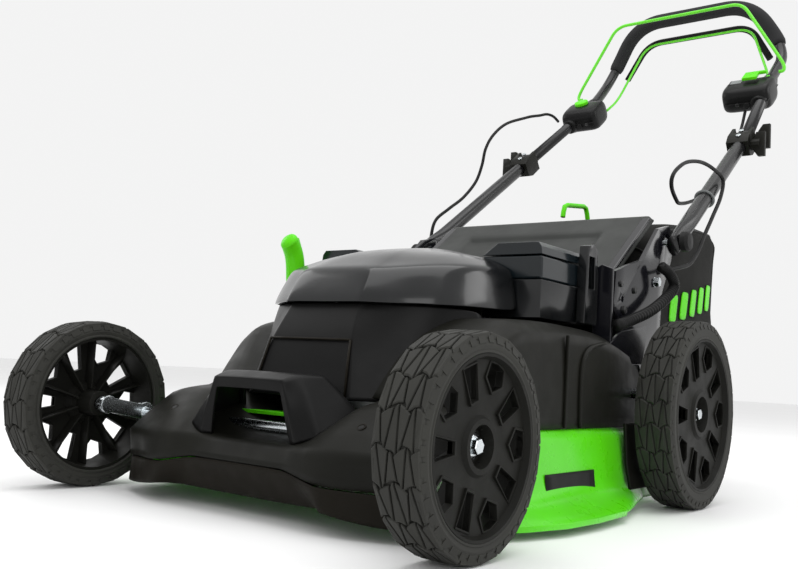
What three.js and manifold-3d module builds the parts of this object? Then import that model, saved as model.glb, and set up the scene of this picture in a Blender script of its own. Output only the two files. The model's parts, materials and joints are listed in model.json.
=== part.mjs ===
// Battery push lawn mower, in millimetres, +Z up.
// The working frame used below has the front axle over Y = 0, the ground at Z = 0,
// the mower's left side at +X and the handle towards +Y. The exported group shifts it
// so that its origin is on the ground under the middle of the whole mower.
import * as THREE from 'three';
import { ConvexGeometry } from 'three/addons/geometries/ConvexGeometry.js';
import { mergeVertices } from 'three/addons/utils/BufferGeometryUtils.js';
import Module from 'manifold-3d';

const wasm = await Module();
wasm.setup();

// Running clearance between neighbouring pieces.
const GAP = 0.4;

// Wheels.
const FRONT_RADIUS = 101.5;
const REAR_RADIUS = 127;
const WHEELBASE = 559.5;
const TRACK_OUTER = 304;
const TYRE_WIDTH = 51;
const WHEEL_SIDES = 24;
const RIM_SHARE = 0.81;
const WINDOW_COUNT = 10;
const STUB_RADIUS = 6;
const WHEEL_X = TRACK_OUTER - TYRE_WIDTH / 2;

// Cranks that carry the wheels, turned together by the height lever.
const FRONT_PIVOT = { y: 55, z: 92 };
const REAR_PIVOT = { y: 505, z: 150 };
const LEVER_PIVOT = { y: 290, z: 162 };
const CRANK_RADIUS = 7;
const EAR_LENGTH = 14;
const LINK_X = -150;
const ARM_X = [236, 244];

// Deck and cutting gear, centred on the motor shaft.
const MOTOR_Y = 265;
const DECK_TOP = 108;
const DECK_SHEET = 4;
const BLADE_LENGTH = 440;
const BLADE_Z = 46;

// Rear flap, bag and battery lid.
const FLAP_HINGE = { y: 474, z: 276 };
const FLAP_ANGLE = Math.atan2(414 - 276, 657 - 474);
const FLAP_HALF_WIDTH = 184;
const BAY_HALF = 183;
const LID_BASE = 285;
const CHUTE_HINGE = { x: -237, z: 94 };

// Handle.
const PIVOT = { y: 628, z: 376 };
const JOINT = { x: 222, y: 974, z: 616 };
const HANDLE_TUBE = 12.5;
const FOAM_RADIUS = 16;
const BEND = { x: 201, y: 1325, z: 893 };
const BAR = { x: 132, y: 1304, z: 1008 };
const WRIST = { x: 196, y: 1222, z: 801 };
const BOX_CENTRE = { x: 203, y: 1154, z: 750 };
const BLADE_BAIL_PIVOT = { x: 228, y: 1205, z: 812 };
const DRIVE_BAIL_PIVOT = { x: 172, y: 1240, z: 790 };

const mower = new THREE.Group();

// ---------------------------------------------------------------- materials

function finish(color, roughness, metalness) {
  return new THREE.MeshStandardMaterial({ color, roughness, metalness });
}

const LOOKS = {
  green: () => finish(0x55c814, 0.35, 0.0),
  matteBlack: () => finish(0x2a2a28, 0.65, 0.0),
  satinBlack: () => finish(0x1c1c1d, 0.4, 0.0),
  glossBlack: () => finish(0x111214, 0.15, 0.1),
  greyPlastic: () => finish(0x4c4e4d, 0.5, 0.0),
  rubber: () => finish(0x2c2c2a, 0.85, 0.0),
  foam: () => finish(0x18181a, 0.9, 0.0),
  fabric: () => finish(0x1b1b1b, 0.95, 0.0),
  zinc: () => finish(0xb9c0c4, 0.3, 0.9),
  steel: () => finish(0x8c9094, 0.35, 0.9),
  aluminium: () => finish(0xa0a4a8, 0.4, 0.8),
};

// ---------------------------------------------------------------- geometry helpers

function vec(x, y, z) {
  return new THREE.Vector3(x, y, z);
}

function place(geometry, xAxis, yAxis, zAxis, origin) {
  const frame = new THREE.Matrix4().makeBasis(xAxis, yAxis, zAxis);
  frame.setPosition(origin);
  return geometry.applyMatrix4(frame);
}

function extrude(points, depth) {
  const outline = new THREE.Shape(points.map(([u, v]) => new THREE.Vector2(u, v)));
  return new THREE.ExtrudeGeometry(outline, { depth, bevelEnabled: false });
}

// A Y-Z outline swept from x0 to x1.
function prismX(points, x0, x1) {
  return place(extrude(points, x1 - x0), vec(0, 1, 0), vec(0, 0, 1), vec(1, 0, 0), vec(x0, 0, 0));
}

// An X-Z outline swept from y0 to y1.
function prismY(points, y0, y1) {
  return place(extrude(points, y1 - y0), vec(1, 0, 0), vec(0, 0, 1), vec(0, -1, 0), vec(0, y1, 0));
}

// An X-Y outline swept from z0 to z1.
function prismZ(points, z0, z1) {
  return extrude(points, z1 - z0).translate(0, 0, z0);
}

function block(x0, x1, y0, y1, z0, z1) {
  const box = new THREE.BoxGeometry(x1 - x0, y1 - y0, z1 - z0);
  return box.translate((x0 + x1) / 2, (y0 + y1) / 2, (z0 + z1) / 2);
}

function rodX(radius, x0, x1, y, z, sides = 12) {
  const rod = new THREE.CylinderGeometry(radius, radius, x1 - x0, sides);
  return rod.rotateZ(Math.PI / 2).translate((x0 + x1) / 2, y, z);
}

function rodZ(radius, z0, z1, x, y, sides = 16) {
  const rod = new THREE.CylinderGeometry(radius, radius, z1 - z0, sides);
  return rod.rotateX(Math.PI / 2).translate(x, y, (z0 + z1) / 2);
}

// A convex solid over corner points [x, y, z].
function hull(corners) {
  return new ConvexGeometry(corners.map(([x, y, z]) => vec(x, y, z)));
}

// The same corners on both sides of the mid-plane.
function bothSides(corners) {
  return corners.flatMap(([x, y, z]) => [[x, y, z], [-x, y, z]]);
}

// Corners drawn in by a wall: towards the mid-plane, back, forward and down.
function inset(corners, wall, lowest, frontY, rearY) {
  return corners.map(([x, y, z]) => [
    Math.sign(x) * Math.max(Math.abs(x) - wall, 0),
    Math.min(Math.max(y, frontY + wall), rearY - wall),
    z <= lowest ? z - 2 * wall : z - wall,
  ]);
}

// Corners moved away from their common middle, for the space a piece needs around it.
function outward(corners, distance) {
  const total = corners.reduce((sum, corner) => sum.add(vec(...corner)), vec(0, 0, 0));
  const middle = total.divideScalar(corners.length);
  return corners.map((corner) => {
    const spoke = vec(...corner).sub(middle);
    return vec(...corner).add(spoke.setLength(distance)).toArray();
  });
}

function circle(radius, sides) {
  return Array.from({ length: sides }, (_, i) => {
    const turn = (i / sides) * 2 * Math.PI;
    return [radius * Math.cos(turn), radius * Math.sin(turn)];
  });
}

// A path of straight runs joined by curved bends.
function bentPath(corners, bend) {
  const path = new THREE.CurvePath();
  let from = corners[0];
  for (let i = 1; i < corners.length - 1; i += 1) {
    const corner = corners[i];
    const before = corners[i - 1].clone().sub(corner);
    const after = corners[i + 1].clone().sub(corner);
    const reach = Math.min(bend, before.length() * 0.45, after.length() * 0.45);
    const enter = corner.clone().add(before.setLength(reach));
    const leave = corner.clone().add(after.setLength(reach));
    path.add(new THREE.LineCurve3(from, enter));
    path.add(new THREE.QuadraticBezierCurve3(enter, corner, leave));
    from = leave;
  }
  path.add(new THREE.LineCurve3(from, corners[corners.length - 1]));
  return path;
}

function sweep(path, radius, sides, steps) {
  const section = new THREE.Shape(circle(radius, sides).map(([u, v]) => new THREE.Vector2(u, v)));
  return new THREE.ExtrudeGeometry(section, { extrudePath: path, steps });
}

function bentTube(corners, bend, radius, sides, steps) {
  return sweep(bentPath(corners.map(([x, y, z]) => vec(x, y, z)), bend), radius, sides, steps);
}

function cable(points, radius, steps) {
  const route = new THREE.CatmullRomCurve3(points.map(([x, y, z]) => vec(x, y, z)));
  return sweep(route, radius, 8, steps);
}

// A closed [radius, along] profile turned about the X axis.
function turned(profile, sides) {
  const loop = [...profile, profile[0]].map(([r, t]) => new THREE.Vector2(r, t));
  const halfSide = Math.PI / sides;
  const lathe = new THREE.LatheGeometry(loop, sides, halfSide, 2 * Math.PI);
  return lathe.rotateZ(-Math.PI / 2);
}

function solid(geometry) {
  const bare = geometry.clone();
  bare.deleteAttribute('normal');
  bare.deleteAttribute('uv');
  const merged = mergeVertices(bare, 1e-3);
  const corners = [];
  for (let i = 0; i < merged.index.count; i += 3) {
    const [a, b, c] = [0, 1, 2].map((k) => merged.index.getX(i + k));
    if (a !== b && b !== c && c !== a) corners.push(a, b, c);
  }
  const positions = merged.attributes.position;
  let volume = 0;
  for (let i = 0; i < corners.length; i += 3) {
    const corner = (k) => new THREE.Vector3().fromBufferAttribute(positions, corners[i + k]);
    const [p, q, r] = [corner(0), corner(1), corner(2)];
    volume += p.dot(q.cross(r));
  }
  if (volume < 0) corners.reverse();
  const mesh = new wasm.Mesh({
    numProp: 3,
    vertProperties: new Float32Array(positions.array),
    triVerts: new Uint32Array(corners),
  });
  return new wasm.Manifold(mesh);
}

function surface(manifold) {
  const mesh = manifold.getMesh();
  const geometry = new THREE.BufferGeometry();
  geometry.setAttribute('position', new THREE.BufferAttribute(new Float32Array(mesh.vertProperties), 3));
  geometry.setIndex(new THREE.BufferAttribute(new Uint32Array(mesh.triVerts), 1));
  geometry.computeVertexNormals();
  return geometry;
}

function join(...pieces) {
  return surface(pieces.map(solid).reduce((whole, piece) => whole.add(piece)));
}

function cut(body, ...tools) {
  return surface(tools.map(solid).reduce((left, tool) => left.subtract(tool), solid(body)));
}

function add(name, geometry, material, parent = mower) {
  const mesh = new THREE.Mesh(surface(solid(geometry)), material);
  mesh.name = name;
  parent.add(mesh);
  return mesh;
}

// ---------------------------------------------------------------- wheels and axles

function rimWindow(index, radius) {
  const wide = index % 2 === 0;
  const turn = (index / WINDOW_COUNT) * 2 * Math.PI;
  const outer = radius * 0.7;
  const inner = radius * (wide ? 0.4 : 0.36);
  const outerHalf = wide ? 0.23 : 0.13;
  const innerHalf = wide ? 0.14 : 0.12;
  const corners = [[inner, -innerHalf], [outer, -outerHalf], [outer, outerHalf], [inner, innerHalf]];
  return corners.map(([r, half]) => [r * Math.cos(turn + half), r * Math.sin(turn + half)]);
}

function rimGeometry(radius) {
  const outer = radius * RIM_SHARE / Math.cos(Math.PI / WHEEL_SIDES);
  const barrel = turned([[outer - 6, -21], [outer, -21], [outer, 21], [outer - 6, 21]], WHEEL_SIDES);
  const face = turned([[16, 9], [outer - 1, 9], [outer - 1, 17], [16, 17]], WHEEL_SIDES);
  const hub = turned([[6.6, -26], [23, -26], [23, 16], [18, 16], [18, -2], [6.6, -2]], 18);
  const windows = Array.from({ length: WINDOW_COUNT }, (_, i) => prismX(rimWindow(i, radius), 5, 20));
  return cut(join(barrel, face, hub), ...windows);
}

function tyreGeometry(radius) {
  const scale = 1 / Math.cos(Math.PI / WHEEL_SIDES);
  const half = TYRE_WIDTH / 2;
  const inner = radius * RIM_SHARE + GAP;
  const profile = [
    [inner, -half + 2],
    [radius * 0.86, -half],
    [radius * 0.955, -half],
    [radius, -half + 8],
    [radius, half - 8],
    [radius * 0.955, half],
    [radius * 0.86, half],
    [inner, half - 2],
  ];
  return turned(profile.map(([r, t]) => [r * scale, t]), WHEEL_SIDES);
}

function buildWheels() {
  const axles = [['front', FRONT_RADIUS, 0], ['rear', REAR_RADIUS, WHEELBASE]];
  for (const [end, radius, y] of axles) {
    for (const [side, name] of [[1, 'left'], [-1, 'right']]) {
      const wheel = new THREE.Group();
      wheel.position.set(side * WHEEL_X, y, radius);
      wheel.rotation.z = side > 0 ? 0 : Math.PI;
      add(`tyre_${end}_${name}`, tyreGeometry(radius), LOOKS.rubber(), wheel);
      add(`rim_${end}_${name}`, rimGeometry(radius), LOOKS.matteBlack(), wheel);
      mower.add(wheel);
    }
  }
}

// Half of a crank: the arm beside the deck, the stub through the hub, washer and hex nut.
function crankEnd(pivot, axle) {
  const [x0, x1] = ARM_X;
  const washerX = WHEEL_X - 1.4;
  const arm = join(
    rodX(13, x0, x1, pivot.y, pivot.z),
    rodX(11, x0, x1, axle.y, axle.z),
    armPlate(pivot, axle, x0, x1),
  );
  return join(
    arm,
    rodX(STUB_RADIUS, x0, washerX + 6, axle.y, axle.z),
    rodX(9.5, x1 - 1, WHEEL_X - 26.6, axle.y, axle.z),
    rodX(14, washerX, washerX + 2.4, axle.y, axle.z, 20),
    rodX(9.5, washerX + 2, washerX + 10, axle.y, axle.z, 6),
  );
}

function armPlate(from, to, x0, x1) {
  const along = new THREE.Vector2(to.y - from.y, to.z - from.z).normalize();
  const across = new THREE.Vector2(-along.y, along.x).multiplyScalar(9);
  const outline = [
    [from.y + across.x, from.z + across.y],
    [to.y + across.x, to.z + across.y],
    [to.y - across.x, to.z - across.y],
    [from.y - across.x, from.z - across.y],
  ];
  return prismX(outline, x0, x1);
}

function crank(pivot, axle, earDirection) {
  const right = crankEnd(pivot, axle).rotateY(Math.PI).scale(1, 1, -1);
  const ear = block(LINK_X - 12, LINK_X - 6, pivot.y - 6, pivot.y + 6, pivot.z, pivot.z + EAR_LENGTH + 2);
  if (earDirection < 0) ear.translate(0, 0, -EAR_LENGTH - 2);
  return join(
    rodX(CRANK_RADIUS, -ARM_X[1], ARM_X[1], pivot.y, pivot.z),
    crankEnd(pivot, axle),
    right,
    ear,
  );
}

function buildCranks() {
  const front = { y: 0, z: FRONT_RADIUS };
  const rear = { y: WHEELBASE, z: REAR_RADIUS };
  add('front_axle', crank(FRONT_PIVOT, front, 1), LOOKS.zinc());
  add('rear_axle', crank(REAR_PIVOT, rear, -1), LOOKS.zinc());
  const gearCase = hull(bothSides([
    [34, REAR_PIVOT.y - 20, 128], [34, REAR_PIVOT.y - 26, 150], [34, REAR_PIVOT.y - 18, 172],
    [34, REAR_PIVOT.y + 22, 172], [34, REAR_PIVOT.y + 30, 150], [34, REAR_PIVOT.y + 22, 128],
  ]));
  const bore = rodX(CRANK_RADIUS + GAP, -60, 60, REAR_PIVOT.y, REAR_PIVOT.z);
  add('drive_gearbox', cut(gearCase, bore), LOOKS.aluminium());
}

function buildHeightLever() {
  const { y, z } = LEVER_PIVOT;
  const grip = cable([
    [-215, y, z + 100], [-215, y - 3, z + 130], [-215, y - 8, z + 162], [-215, y - 18, z + 182],
  ], 13, 8);
  const shaft = block(-218, -212, y - 8, y + 8, z, z + 112);
  const lever = join(
    grip,
    shaft,
    rodX(8, -219, LINK_X - 6, y, z),
    block(LINK_X - 12, LINK_X - 6, y - 7, y + 7, z - EAR_LENGTH - 4, z),
  );
  add('height_lever', lever, LOOKS.green());
  const ends = [
    [FRONT_PIVOT.y, FRONT_PIVOT.z + EAR_LENGTH],
    [y, z - EAR_LENGTH],
    [REAR_PIVOT.y, REAR_PIVOT.z - EAR_LENGTH],
  ];
  const rod = bentTube(ends.map(([py, pz]) => [LINK_X, py, pz]), 20, 3.5, 8, 16);
  add('height_link', rod, LOOKS.zinc());
}

// ---------------------------------------------------------------- deck and cutting gear

// Plan of the deck at one level, from the rear left corner round the front to the rear right.
function deckPlan(halfWidth, frontWidth, rearWidth) {
  const left = [
    [rearWidth, 600], [rearWidth, 540], [rearWidth + (halfWidth - rearWidth) * 0.1, 480],
    [rearWidth + (halfWidth - rearWidth) * 0.5, 415], [halfWidth - 4, 350], [halfWidth, 270],
    [halfWidth - 4, 200], [frontWidth + (halfWidth - frontWidth) * 0.55, 140],
    [frontWidth, 90], [frontWidth, 72],
  ];
  return [...left, ...left.map(([x, y]) => [-x, y]).reverse()];
}

// A solid between stacked outlines of equal point count.
function stacked(levels) {
  const count = levels[0].points.length;
  const positions = [];
  const quad = (a, b, c, d) => positions.push(...a, ...b, ...c, ...a, ...c, ...d);
  const flatten = (points) => points.map(([x, y]) => new THREE.Vector2(x, y));
  const clockwise = THREE.ShapeUtils.isClockWise(flatten(levels[0].points));
  const ring = levels.map(({ z, points }) => {
    const ordered = clockwise ? [...points].reverse() : points;
    return ordered.map(([x, y]) => [x, y, z]);
  });
  for (let level = 0; level < ring.length - 1; level += 1) {
    for (let i = 0; i < count; i += 1) {
      const next = (i + 1) % count;
      quad(ring[level][i], ring[level][next], ring[level + 1][next], ring[level + 1][i]);
    }
  }
  const caps = [[ring[0], true], [ring[ring.length - 1], false]];
  for (const [points, under] of caps) {
    const flat = flatten(points);
    for (const face of THREE.ShapeUtils.triangulateShape(flat, [])) {
      const downward = THREE.ShapeUtils.isClockWise(face.map((i) => flat[i]));
      const order = downward === under ? face : [...face].reverse();
      order.forEach((i) => positions.push(...points[i]));
    }
  }
  const geometry = new THREE.BufferGeometry();
  geometry.setAttribute('position', new THREE.BufferAttribute(new Float32Array(positions), 3));
  return geometry;
}

// The outside of the deck: a flat top, upright walls and a flared lip.
function deckOuter(grow) {
  const level = (z, ...widths) => ({ z, points: deckPlan(...widths.map((width) => width + grow)) });
  return stacked([
    level(9, 289, 244, 228),
    level(15, 289, 244, 228),
    level(24, 262, 240, 224),
    level(34, 240, 234, 220),
    level(98, 233, 226, 214),
    level(DECK_TOP + grow, 222, 220, 206),
  ]);
}

function buildDeck() {
  const inner = stacked([
    { z: 5, points: deckPlan(286, 241, 225) },
    { z: 13, points: deckPlan(286, 241, 225) },
    { z: 21, points: deckPlan(258, 236, 220) },
    { z: 32, points: deckPlan(236, 230, 216) },
    { z: DECK_TOP - DECK_SHEET, points: deckPlan(229, 222, 210) },
  ]);
  const shaftHole = rodZ(30, 90, 120, 0, MOTOR_Y);
  const rearMouth = block(-170, 170, 580, 620, 24, 96);
  const chuteMouth = block(-270, -205, 200, 330, 40, 92);
  const frontMouth = block(-205, 205, 60, 80, 0, 98);
  const linkNotch = block(LINK_X - 8, LINK_X + 8, 60, 104, 96, 120);
  const openings = [shaftHole, rearMouth, chuteMouth, frontMouth, linkNotch];
  add('deck_shell', cut(deckOuter(0), inner, ...openings), LOOKS.green());
}

function buildCuttingGear() {
  const housing = turnedUp([[8.6, 0], [78, 0], [80, 8], [80, 46], [66, 58], [30, 66], [8.6, 66]], 28);
  add('motor_housing', housing.translate(0, MOTOR_Y, DECK_TOP + GAP), LOOKS.aluminium());
  add('motor_shaft', rodZ(8, BLADE_Z + 18, DECK_TOP + 76, 0, MOTOR_Y), LOOKS.steel());
  const flange = rodZ(26, BLADE_Z + 2.4, BLADE_Z + 8, 0, MOTOR_Y);
  const adapter = join(flange, rodZ(15, BLADE_Z + 7, BLADE_Z + 17.6, 0, MOTOR_Y));
  add('blade_adapter', adapter, LOOKS.aluminium());
  add('blade', bladeGeometry(), LOOKS.steel());
  const bolt = join(
    rodZ(11, BLADE_Z - 12, BLADE_Z - 5, 0, MOTOR_Y, 6),
    rodZ(18, BLADE_Z - 5.2, BLADE_Z - 2.4, 0, MOTOR_Y),
  );
  add('blade_bolt', bolt, LOOKS.zinc());
}

// A closed [radius, height] profile turned about the Z axis.
function turnedUp(profile, sides) {
  const loop = [...profile, profile[0]].map(([r, h]) => new THREE.Vector2(r, h));
  return new THREE.LatheGeometry(loop, sides).rotateX(Math.PI / 2);
}

function bladeGeometry() {
  const half = BLADE_LENGTH / 2;
  const section = [
    [-half, 28], [-half, -20], [-half + 70, -28], [half, -28], [half, 20], [half - 70, 28],
  ];
  const bar = prismZ(section, -2, 2);
  const lift = prismY([[-half, -1], [-half + 60, -1], [-half + 60, 1], [-half, 14]], 12, 20);
  const otherLift = lift.clone().rotateZ(Math.PI);
  return join(bar, lift, otherLift).translate(0, MOTOR_Y, BLADE_Z);
}

function buildChuteDoor() {
  const { x, z } = CHUTE_HINGE;
  const door = hull([
    [x - 3, 192, z - 2], [x - 3, 338, z - 2], [x - 9, 192, z - 2], [x - 9, 338, z - 2],
    [x - 9, 188, z - 50], [x - 9, 342, z - 50], [x - 14, 188, z - 50], [x - 14, 342, z - 50],
  ]);
  const knuckle = rodX(7, 0, 146, 0, 0, 12).rotateZ(Math.PI / 2).translate(x - 5, 192, z);
  const bore = rodX(3.2 + GAP, -4, 160, 0, 0, 12).rotateZ(Math.PI / 2).translate(x - 5, 188, z);
  add('chute_door', cut(join(door, knuckle), bore), LOOKS.matteBlack());
  const rod = bentTube([
    [x + 5, 178, z], [x - 5, 178, z], [x - 5, 352, z], [x + 5, 352, z],
  ], 4, 3.2, 8, 24);
  add('chute_hinge_rod', rod, LOOKS.satinBlack());
}

// ---------------------------------------------------------------- body panels

function buildApron() {
  const outline = (grow, z) => {
    const half = [[136, -34], [176, -22], [206, -4], [228, 22], [228, 71]];
    const right = half.map(([x, y]) => [x + grow, y < 71 ? y + (z - 20) * 0.72 - grow : y]);
    return [...right.map(([x, y]) => [-x, y]).reverse(), ...right];
  };
  const outer = stacked([
    { z: 20, points: outline(0, 20) },
    { z: 50, points: outline(0, 50) },
  ]);
  const innerHalf = [[128, -20], [170, -8], [198, 8], [220, 28], [220, 90]];
  const innerPoints = [...innerHalf.map(([x, y]) => [-x, y]).reverse(), ...innerHalf];
  const innerTop = innerPoints.map(([x, y]) => [x, y + 14]);
  const inner = stacked([{ z: 10, points: innerPoints }, { z: 60, points: innerTop }]);
  add('front_apron', cut(outer, inner), LOOKS.matteBlack());
}

function noseCorners() {
  return bothSides([
    [138, -8, 51], [190, 6, 51], [226, 32, 51], [226, 100, 51],
    [110, 0, 77], [178, 3, 77], [216, 24, 74], [226, 60, 78],
    [108, 56, 124], [136, 61, 129], [182, 44, 111], [207, 60, 110], [226, 100, 118],
    [120, 100, 133], [196, 100, 130],
  ]);
}

// The tall middle of the cover, narrower on the right where the height lever stands.
function middleCorners() {
  return [
    [226, 84, 109], [230, 150, 109], [230, 440, 109], [218, 600, 109],
    [215, 88, 122], [140, 98, 131], [70, 106, 131], [130, 146, 206], [190, 180, 234], [220, 146, 206],
    [230, 278, 209], [230, 430, 207], [200, 300, 236], [200, 430, 234], [214, 470, 214], [205, 600, 200],
    [-178, 98, 109], [-186, 150, 109], [-186, 440, 109], [-196, 600, 109],
    [-140, 98, 131], [-70, 106, 131], [-130, 146, 206], [-155, 190, 222], [-174, 150, 190],
    [-184, 300, 222], [-184, 430, 222], [-196, 470, 205], [-196, 600, 200],
  ];
}

// The low shelf of the cover beside the right wheels.
function shelfCorners() {
  return [
    [-226, 84, 109], [-228, 150, 109], [-228, 440, 109], [-220, 600, 109],
    [-205, 88, 122], [-218, 150, 128], [-218, 440, 128], [-210, 600, 128],
    [-100, 88, 109], [-100, 600, 109], [-100, 92, 128], [-100, 600, 128],
  ];
}

function buildBodyCover() {
  const wall = 4;
  const nose = hull(noseCorners());
  const middle = hull(middleCorners());
  const noseInside = hull(inset(noseCorners(), wall, 52, -4, 112));
  const middleInside = hull(inset(middleCorners(), wall, 110, 60, 640));
  const shelfInside = hull(inset(shelfCorners(), wall, 110, 60, 640));
  const shell = cut(
    join(nose, middle, hull(shelfCorners())),
    noseInside,
    middleInside,
    shelfInside,
    block(-120, 120, 190, 425, 190, 260),
    rodX(8 + 1.6, -240, -150, LEVER_PIVOT.y, LEVER_PIVOT.z),
    hull(outward(handleCorners(), 1.6)),
    deckOuter(GAP),
    rodX(CRANK_RADIUS + 1.6, -260, 260, FRONT_PIVOT.y, FRONT_PIVOT.z),
    rodX(CRANK_RADIUS + 1.6, -260, 260, REAR_PIVOT.y, REAR_PIVOT.z),
    block(-185, 185, 560, 660, 112, 190),
    prismX([[462, 268], [600, 260], [640, 150], [640, 300], [480, 330]], -190, 190),
  );
  add('body_cover', shell, LOOKS.matteBlack());
}

// Outer corners of the carry handle that stands on the nose of the cover.
function handleCorners() {
  return bothSides([
    [68, -1, 80], [54, 15, 152], [78, -1, 80], [70, 15, 152], [74, 41, 153],
    [80, 20, 84], [108, 62, 120], [74, 62, 125], [40, 60, 126], [60, 2, 80],
  ]);
}

function buildCarryHandle() {
  const inside = hull(bothSides([
    [58, -12, 88], [48, -2, 142], [58, 10, 88], [48, 24, 142], [52, 48, 130], [58, 48, 96],
  ]));
  const frontCut = hull(bothSides([[60, -30, 84], [50, -30, 144], [60, 4, 84], [50, 18, 144]]));
  add('carry_handle', cut(hull(handleCorners()), inside, frontCut), LOOKS.satinBlack());
}

function buildHood() {
  const tower = hull([
    ...bothSides([
      [76, 84, 133.6], [60, 114, 226], [60, 121, 238.6], [78, 96, 166], [76, 84, 140],
      [131, 142, 212], [131, 150, 238.6], [150, 240, 238.6], [150, 240, 230], [150, 262, 238.6],
    ]),
    [0, 262, 238.6], ...bothSides([[78, 200, 134], [128, 262, 180]]),
  ]);
  const recess = hull(bothSides([
    [63, 80, 142], [56, 80, 196], [63, 95, 142], [56, 114, 196],
  ]));
  const hollow = hull(bothSides([
    [72, 130, 120], [72, 130, 232], [124, 160, 232], [142, 240, 232], [142, 290, 232], [100, 290, 120],
  ]));
  const handleRoom = hull(outward(handleCorners(), 1.6));
  add('motor_hood', cut(tower, recess, hollow, handleRoom, bodyUnderHood()), LOOKS.satinBlack());
  const grille = hull(bothSides([
    [62, 92, 143], [55.4, 109, 195], [62, 94.4, 143], [55.4, 113.2, 195],
  ]));
  const slots = [0, 1, 2, 3].map((i) => block(-44, 44, 60, 140, 150 + i * 11, 154 + i * 11));
  add('front_grille', cut(grille, ...slots), LOOKS.matteBlack());
  const cap = hull([
    ...bothSides([
      [60, 120, 239], [56, 124, 252], [60, 134, 279], [68, 166, 297], [60, 198, 315], [100, 205, 303],
      [131, 150, 239], [128, 165, 262], [150, 240, 239], [140, 221, 294], [142, 302, 296],
      [92, 302, 313], [150, 302, 239],
    ]),
    [0, 120, 239], [0, 116, 252], [0, 130, 281], [0, 198, 319], [0, 302, 328],
  ]);
  const underside = hull(bothSides([
    [54, 130, 230], [54, 140, 270], [124, 165, 230], [140, 240, 230], [134, 298, 288], [90, 298, 306],
    [140, 298, 230], [90, 220, 300],
  ]));
  add('hood_cap', cut(cap, underside), LOOKS.glossBlack());
}

// The sloping top of the cover under the hood, with clearance, so the hood sits on it.
function bodyUnderHood() {
  return hull(middleCorners().map(([x, y, z]) => [x, y, z > 110 ? z + GAP : z]));
}

function buildBatteryBay() {
  const tub = block(-BAY_HALF, BAY_HALF, 306, 436, 237.2, LID_BASE - GAP);
  const lower = join(block(-112, 112, 294, 424, 205, 236), block(-112, 112, 306, 424, 235, 240));
  const well = block(-104, 104, 302, 416, 211, 300);
  const pockets = [-1, 1].map((s) => block(s * 155 - 22, s * 155 + 22, 314, 426, 243, 300));
  const keyWell = block(117.6, 124.4, 397.6, 406.4, 263.6, 290);
  const hingeRelief = block(-190, 190, 420, 440, LID_BASE - 5, 290);
  const bay = cut(join(tub, lower), well, ...pockets, keyWell, hingeRelief);
  add('battery_bay', bay, LOOKS.glossBlack());
  const pack = hull(bothSides([
    [100, 305, 212], [100, 413, 212], [100, 305, 274], [100, 413, 274], [92, 312, 279], [92, 406, 279],
  ]));
  add('battery_pack', cut(pack, block(-20, 20, 303, 314, 255, 284)), LOOKS.matteBlack());
  const keyTop = block(112, 130, 392, 412, LID_BASE, LID_BASE + 4);
  add('safety_key', join(keyTop, block(118, 124, 398, 406, 264, 285)), LOOKS.green());
  add('battery_lid', cut(lidShape(0), lidShape(4)), LOOKS.glossBlack());
  const post = prismX([[400, 237], [438, 237], [438, 300], [433, 338], [424, 344], [404, 340]], 184.4, 197);
  const slot = prismX([[409, 284], [428, 284], [426, 326], [409, 326]], 180, 200);
  add('lid_post', cut(post, slot), LOOKS.glossBlack());
}

// The lid: a low middle that carries on the line of the hood, and a raised block at each end.
function lidShape(wall) {
  const low = wall ? LID_BASE - 10 : LID_BASE;
  const half = BAY_HALF - wall;
  const front = 307 + wall;
  const back = 436 - wall;
  const middle = bothSides([front, back].flatMap((y) => [
    [122, y, low], [122, y, 302 - wall], [92, y, 313 - wall], [0, y, 328 - wall],
  ]));
  const block3 = (s) => [front, back].flatMap((y) => [
    [s * (93 + wall), y, low], [s * half, y, low], [s * half, y, 318 - wall], [s * (half - 4), y, 332 - wall],
    [s * (118 + wall), y, 332 - wall], [s * (93 + wall), y, 313 - wall],
  ]);
  return join(hull(middle), hull(block3(1)), hull(block3(-1)));
}

function flapPoint(along, above) {
  const y = FLAP_HINGE.y + along * Math.cos(FLAP_ANGLE) - above * Math.sin(FLAP_ANGLE);
  return [y, FLAP_HINGE.z + along * Math.sin(FLAP_ANGLE) + above * Math.cos(FLAP_ANGLE)];
}

function buildRearFlap() {
  const w = FLAP_HALF_WIDTH;
  const slab = prismX([flapPoint(2, -4), flapPoint(2, 4), flapPoint(228, 4), flapPoint(228, -4)], -w, w);
  const ridge = [[104, 222, 4], [104, 222, 14], [86, 60, 12], [92, 50, 4], [0, 222, 16], [0, 60, 13]];
  const pocket = hull(ridge.flatMap(([x, along, above]) => {
    const [y, z] = flapPoint(along, above);
    return [[x, y, z], [-x, y, z]];
  }));
  const skirts = [[-w, -w + 4], [w - 4, w]].map(([x0, x1]) => prismX(
    [flapPoint(6, -2), flapPoint(6, -12), flapPoint(224, -12), flapPoint(224, -2)], x0, x1));
  const knuckle = rodX(9, -w + 8, w - 8, FLAP_HINGE.y, FLAP_HINGE.z);
  const bore = rodX(4 + GAP, -w - 2, w + 2, FLAP_HINGE.y, FLAP_HINGE.z);
  add('rear_flap', cut(join(slab, pocket, knuckle, ...skirts), bore), LOOKS.greyPlastic());
  add('flap_rod', rodX(4, -212, 212, FLAP_HINGE.y, FLAP_HINGE.z), LOOKS.steel());
}

// ---------------------------------------------------------------- bag

function bagCorners(wall) {
  const w = 203 - wall;
  return bothSides([
    [w - 16, 612, 172 + wall], [w, 640, 190 + wall], [w, 900, 214 + wall], [w - 20, 930, 240 + wall],
    [w - 22, 640, 374 - wall], [w - 4, 700, 424 - wall], [w - 4, 820, 445 - wall], [w - 4, 908, 449 - wall],
    [w - 14, 944 - wall, 430 - wall], [w - 22, 612, 340 - wall], [60, 612, 166 + wall],
  ]);
}

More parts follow.
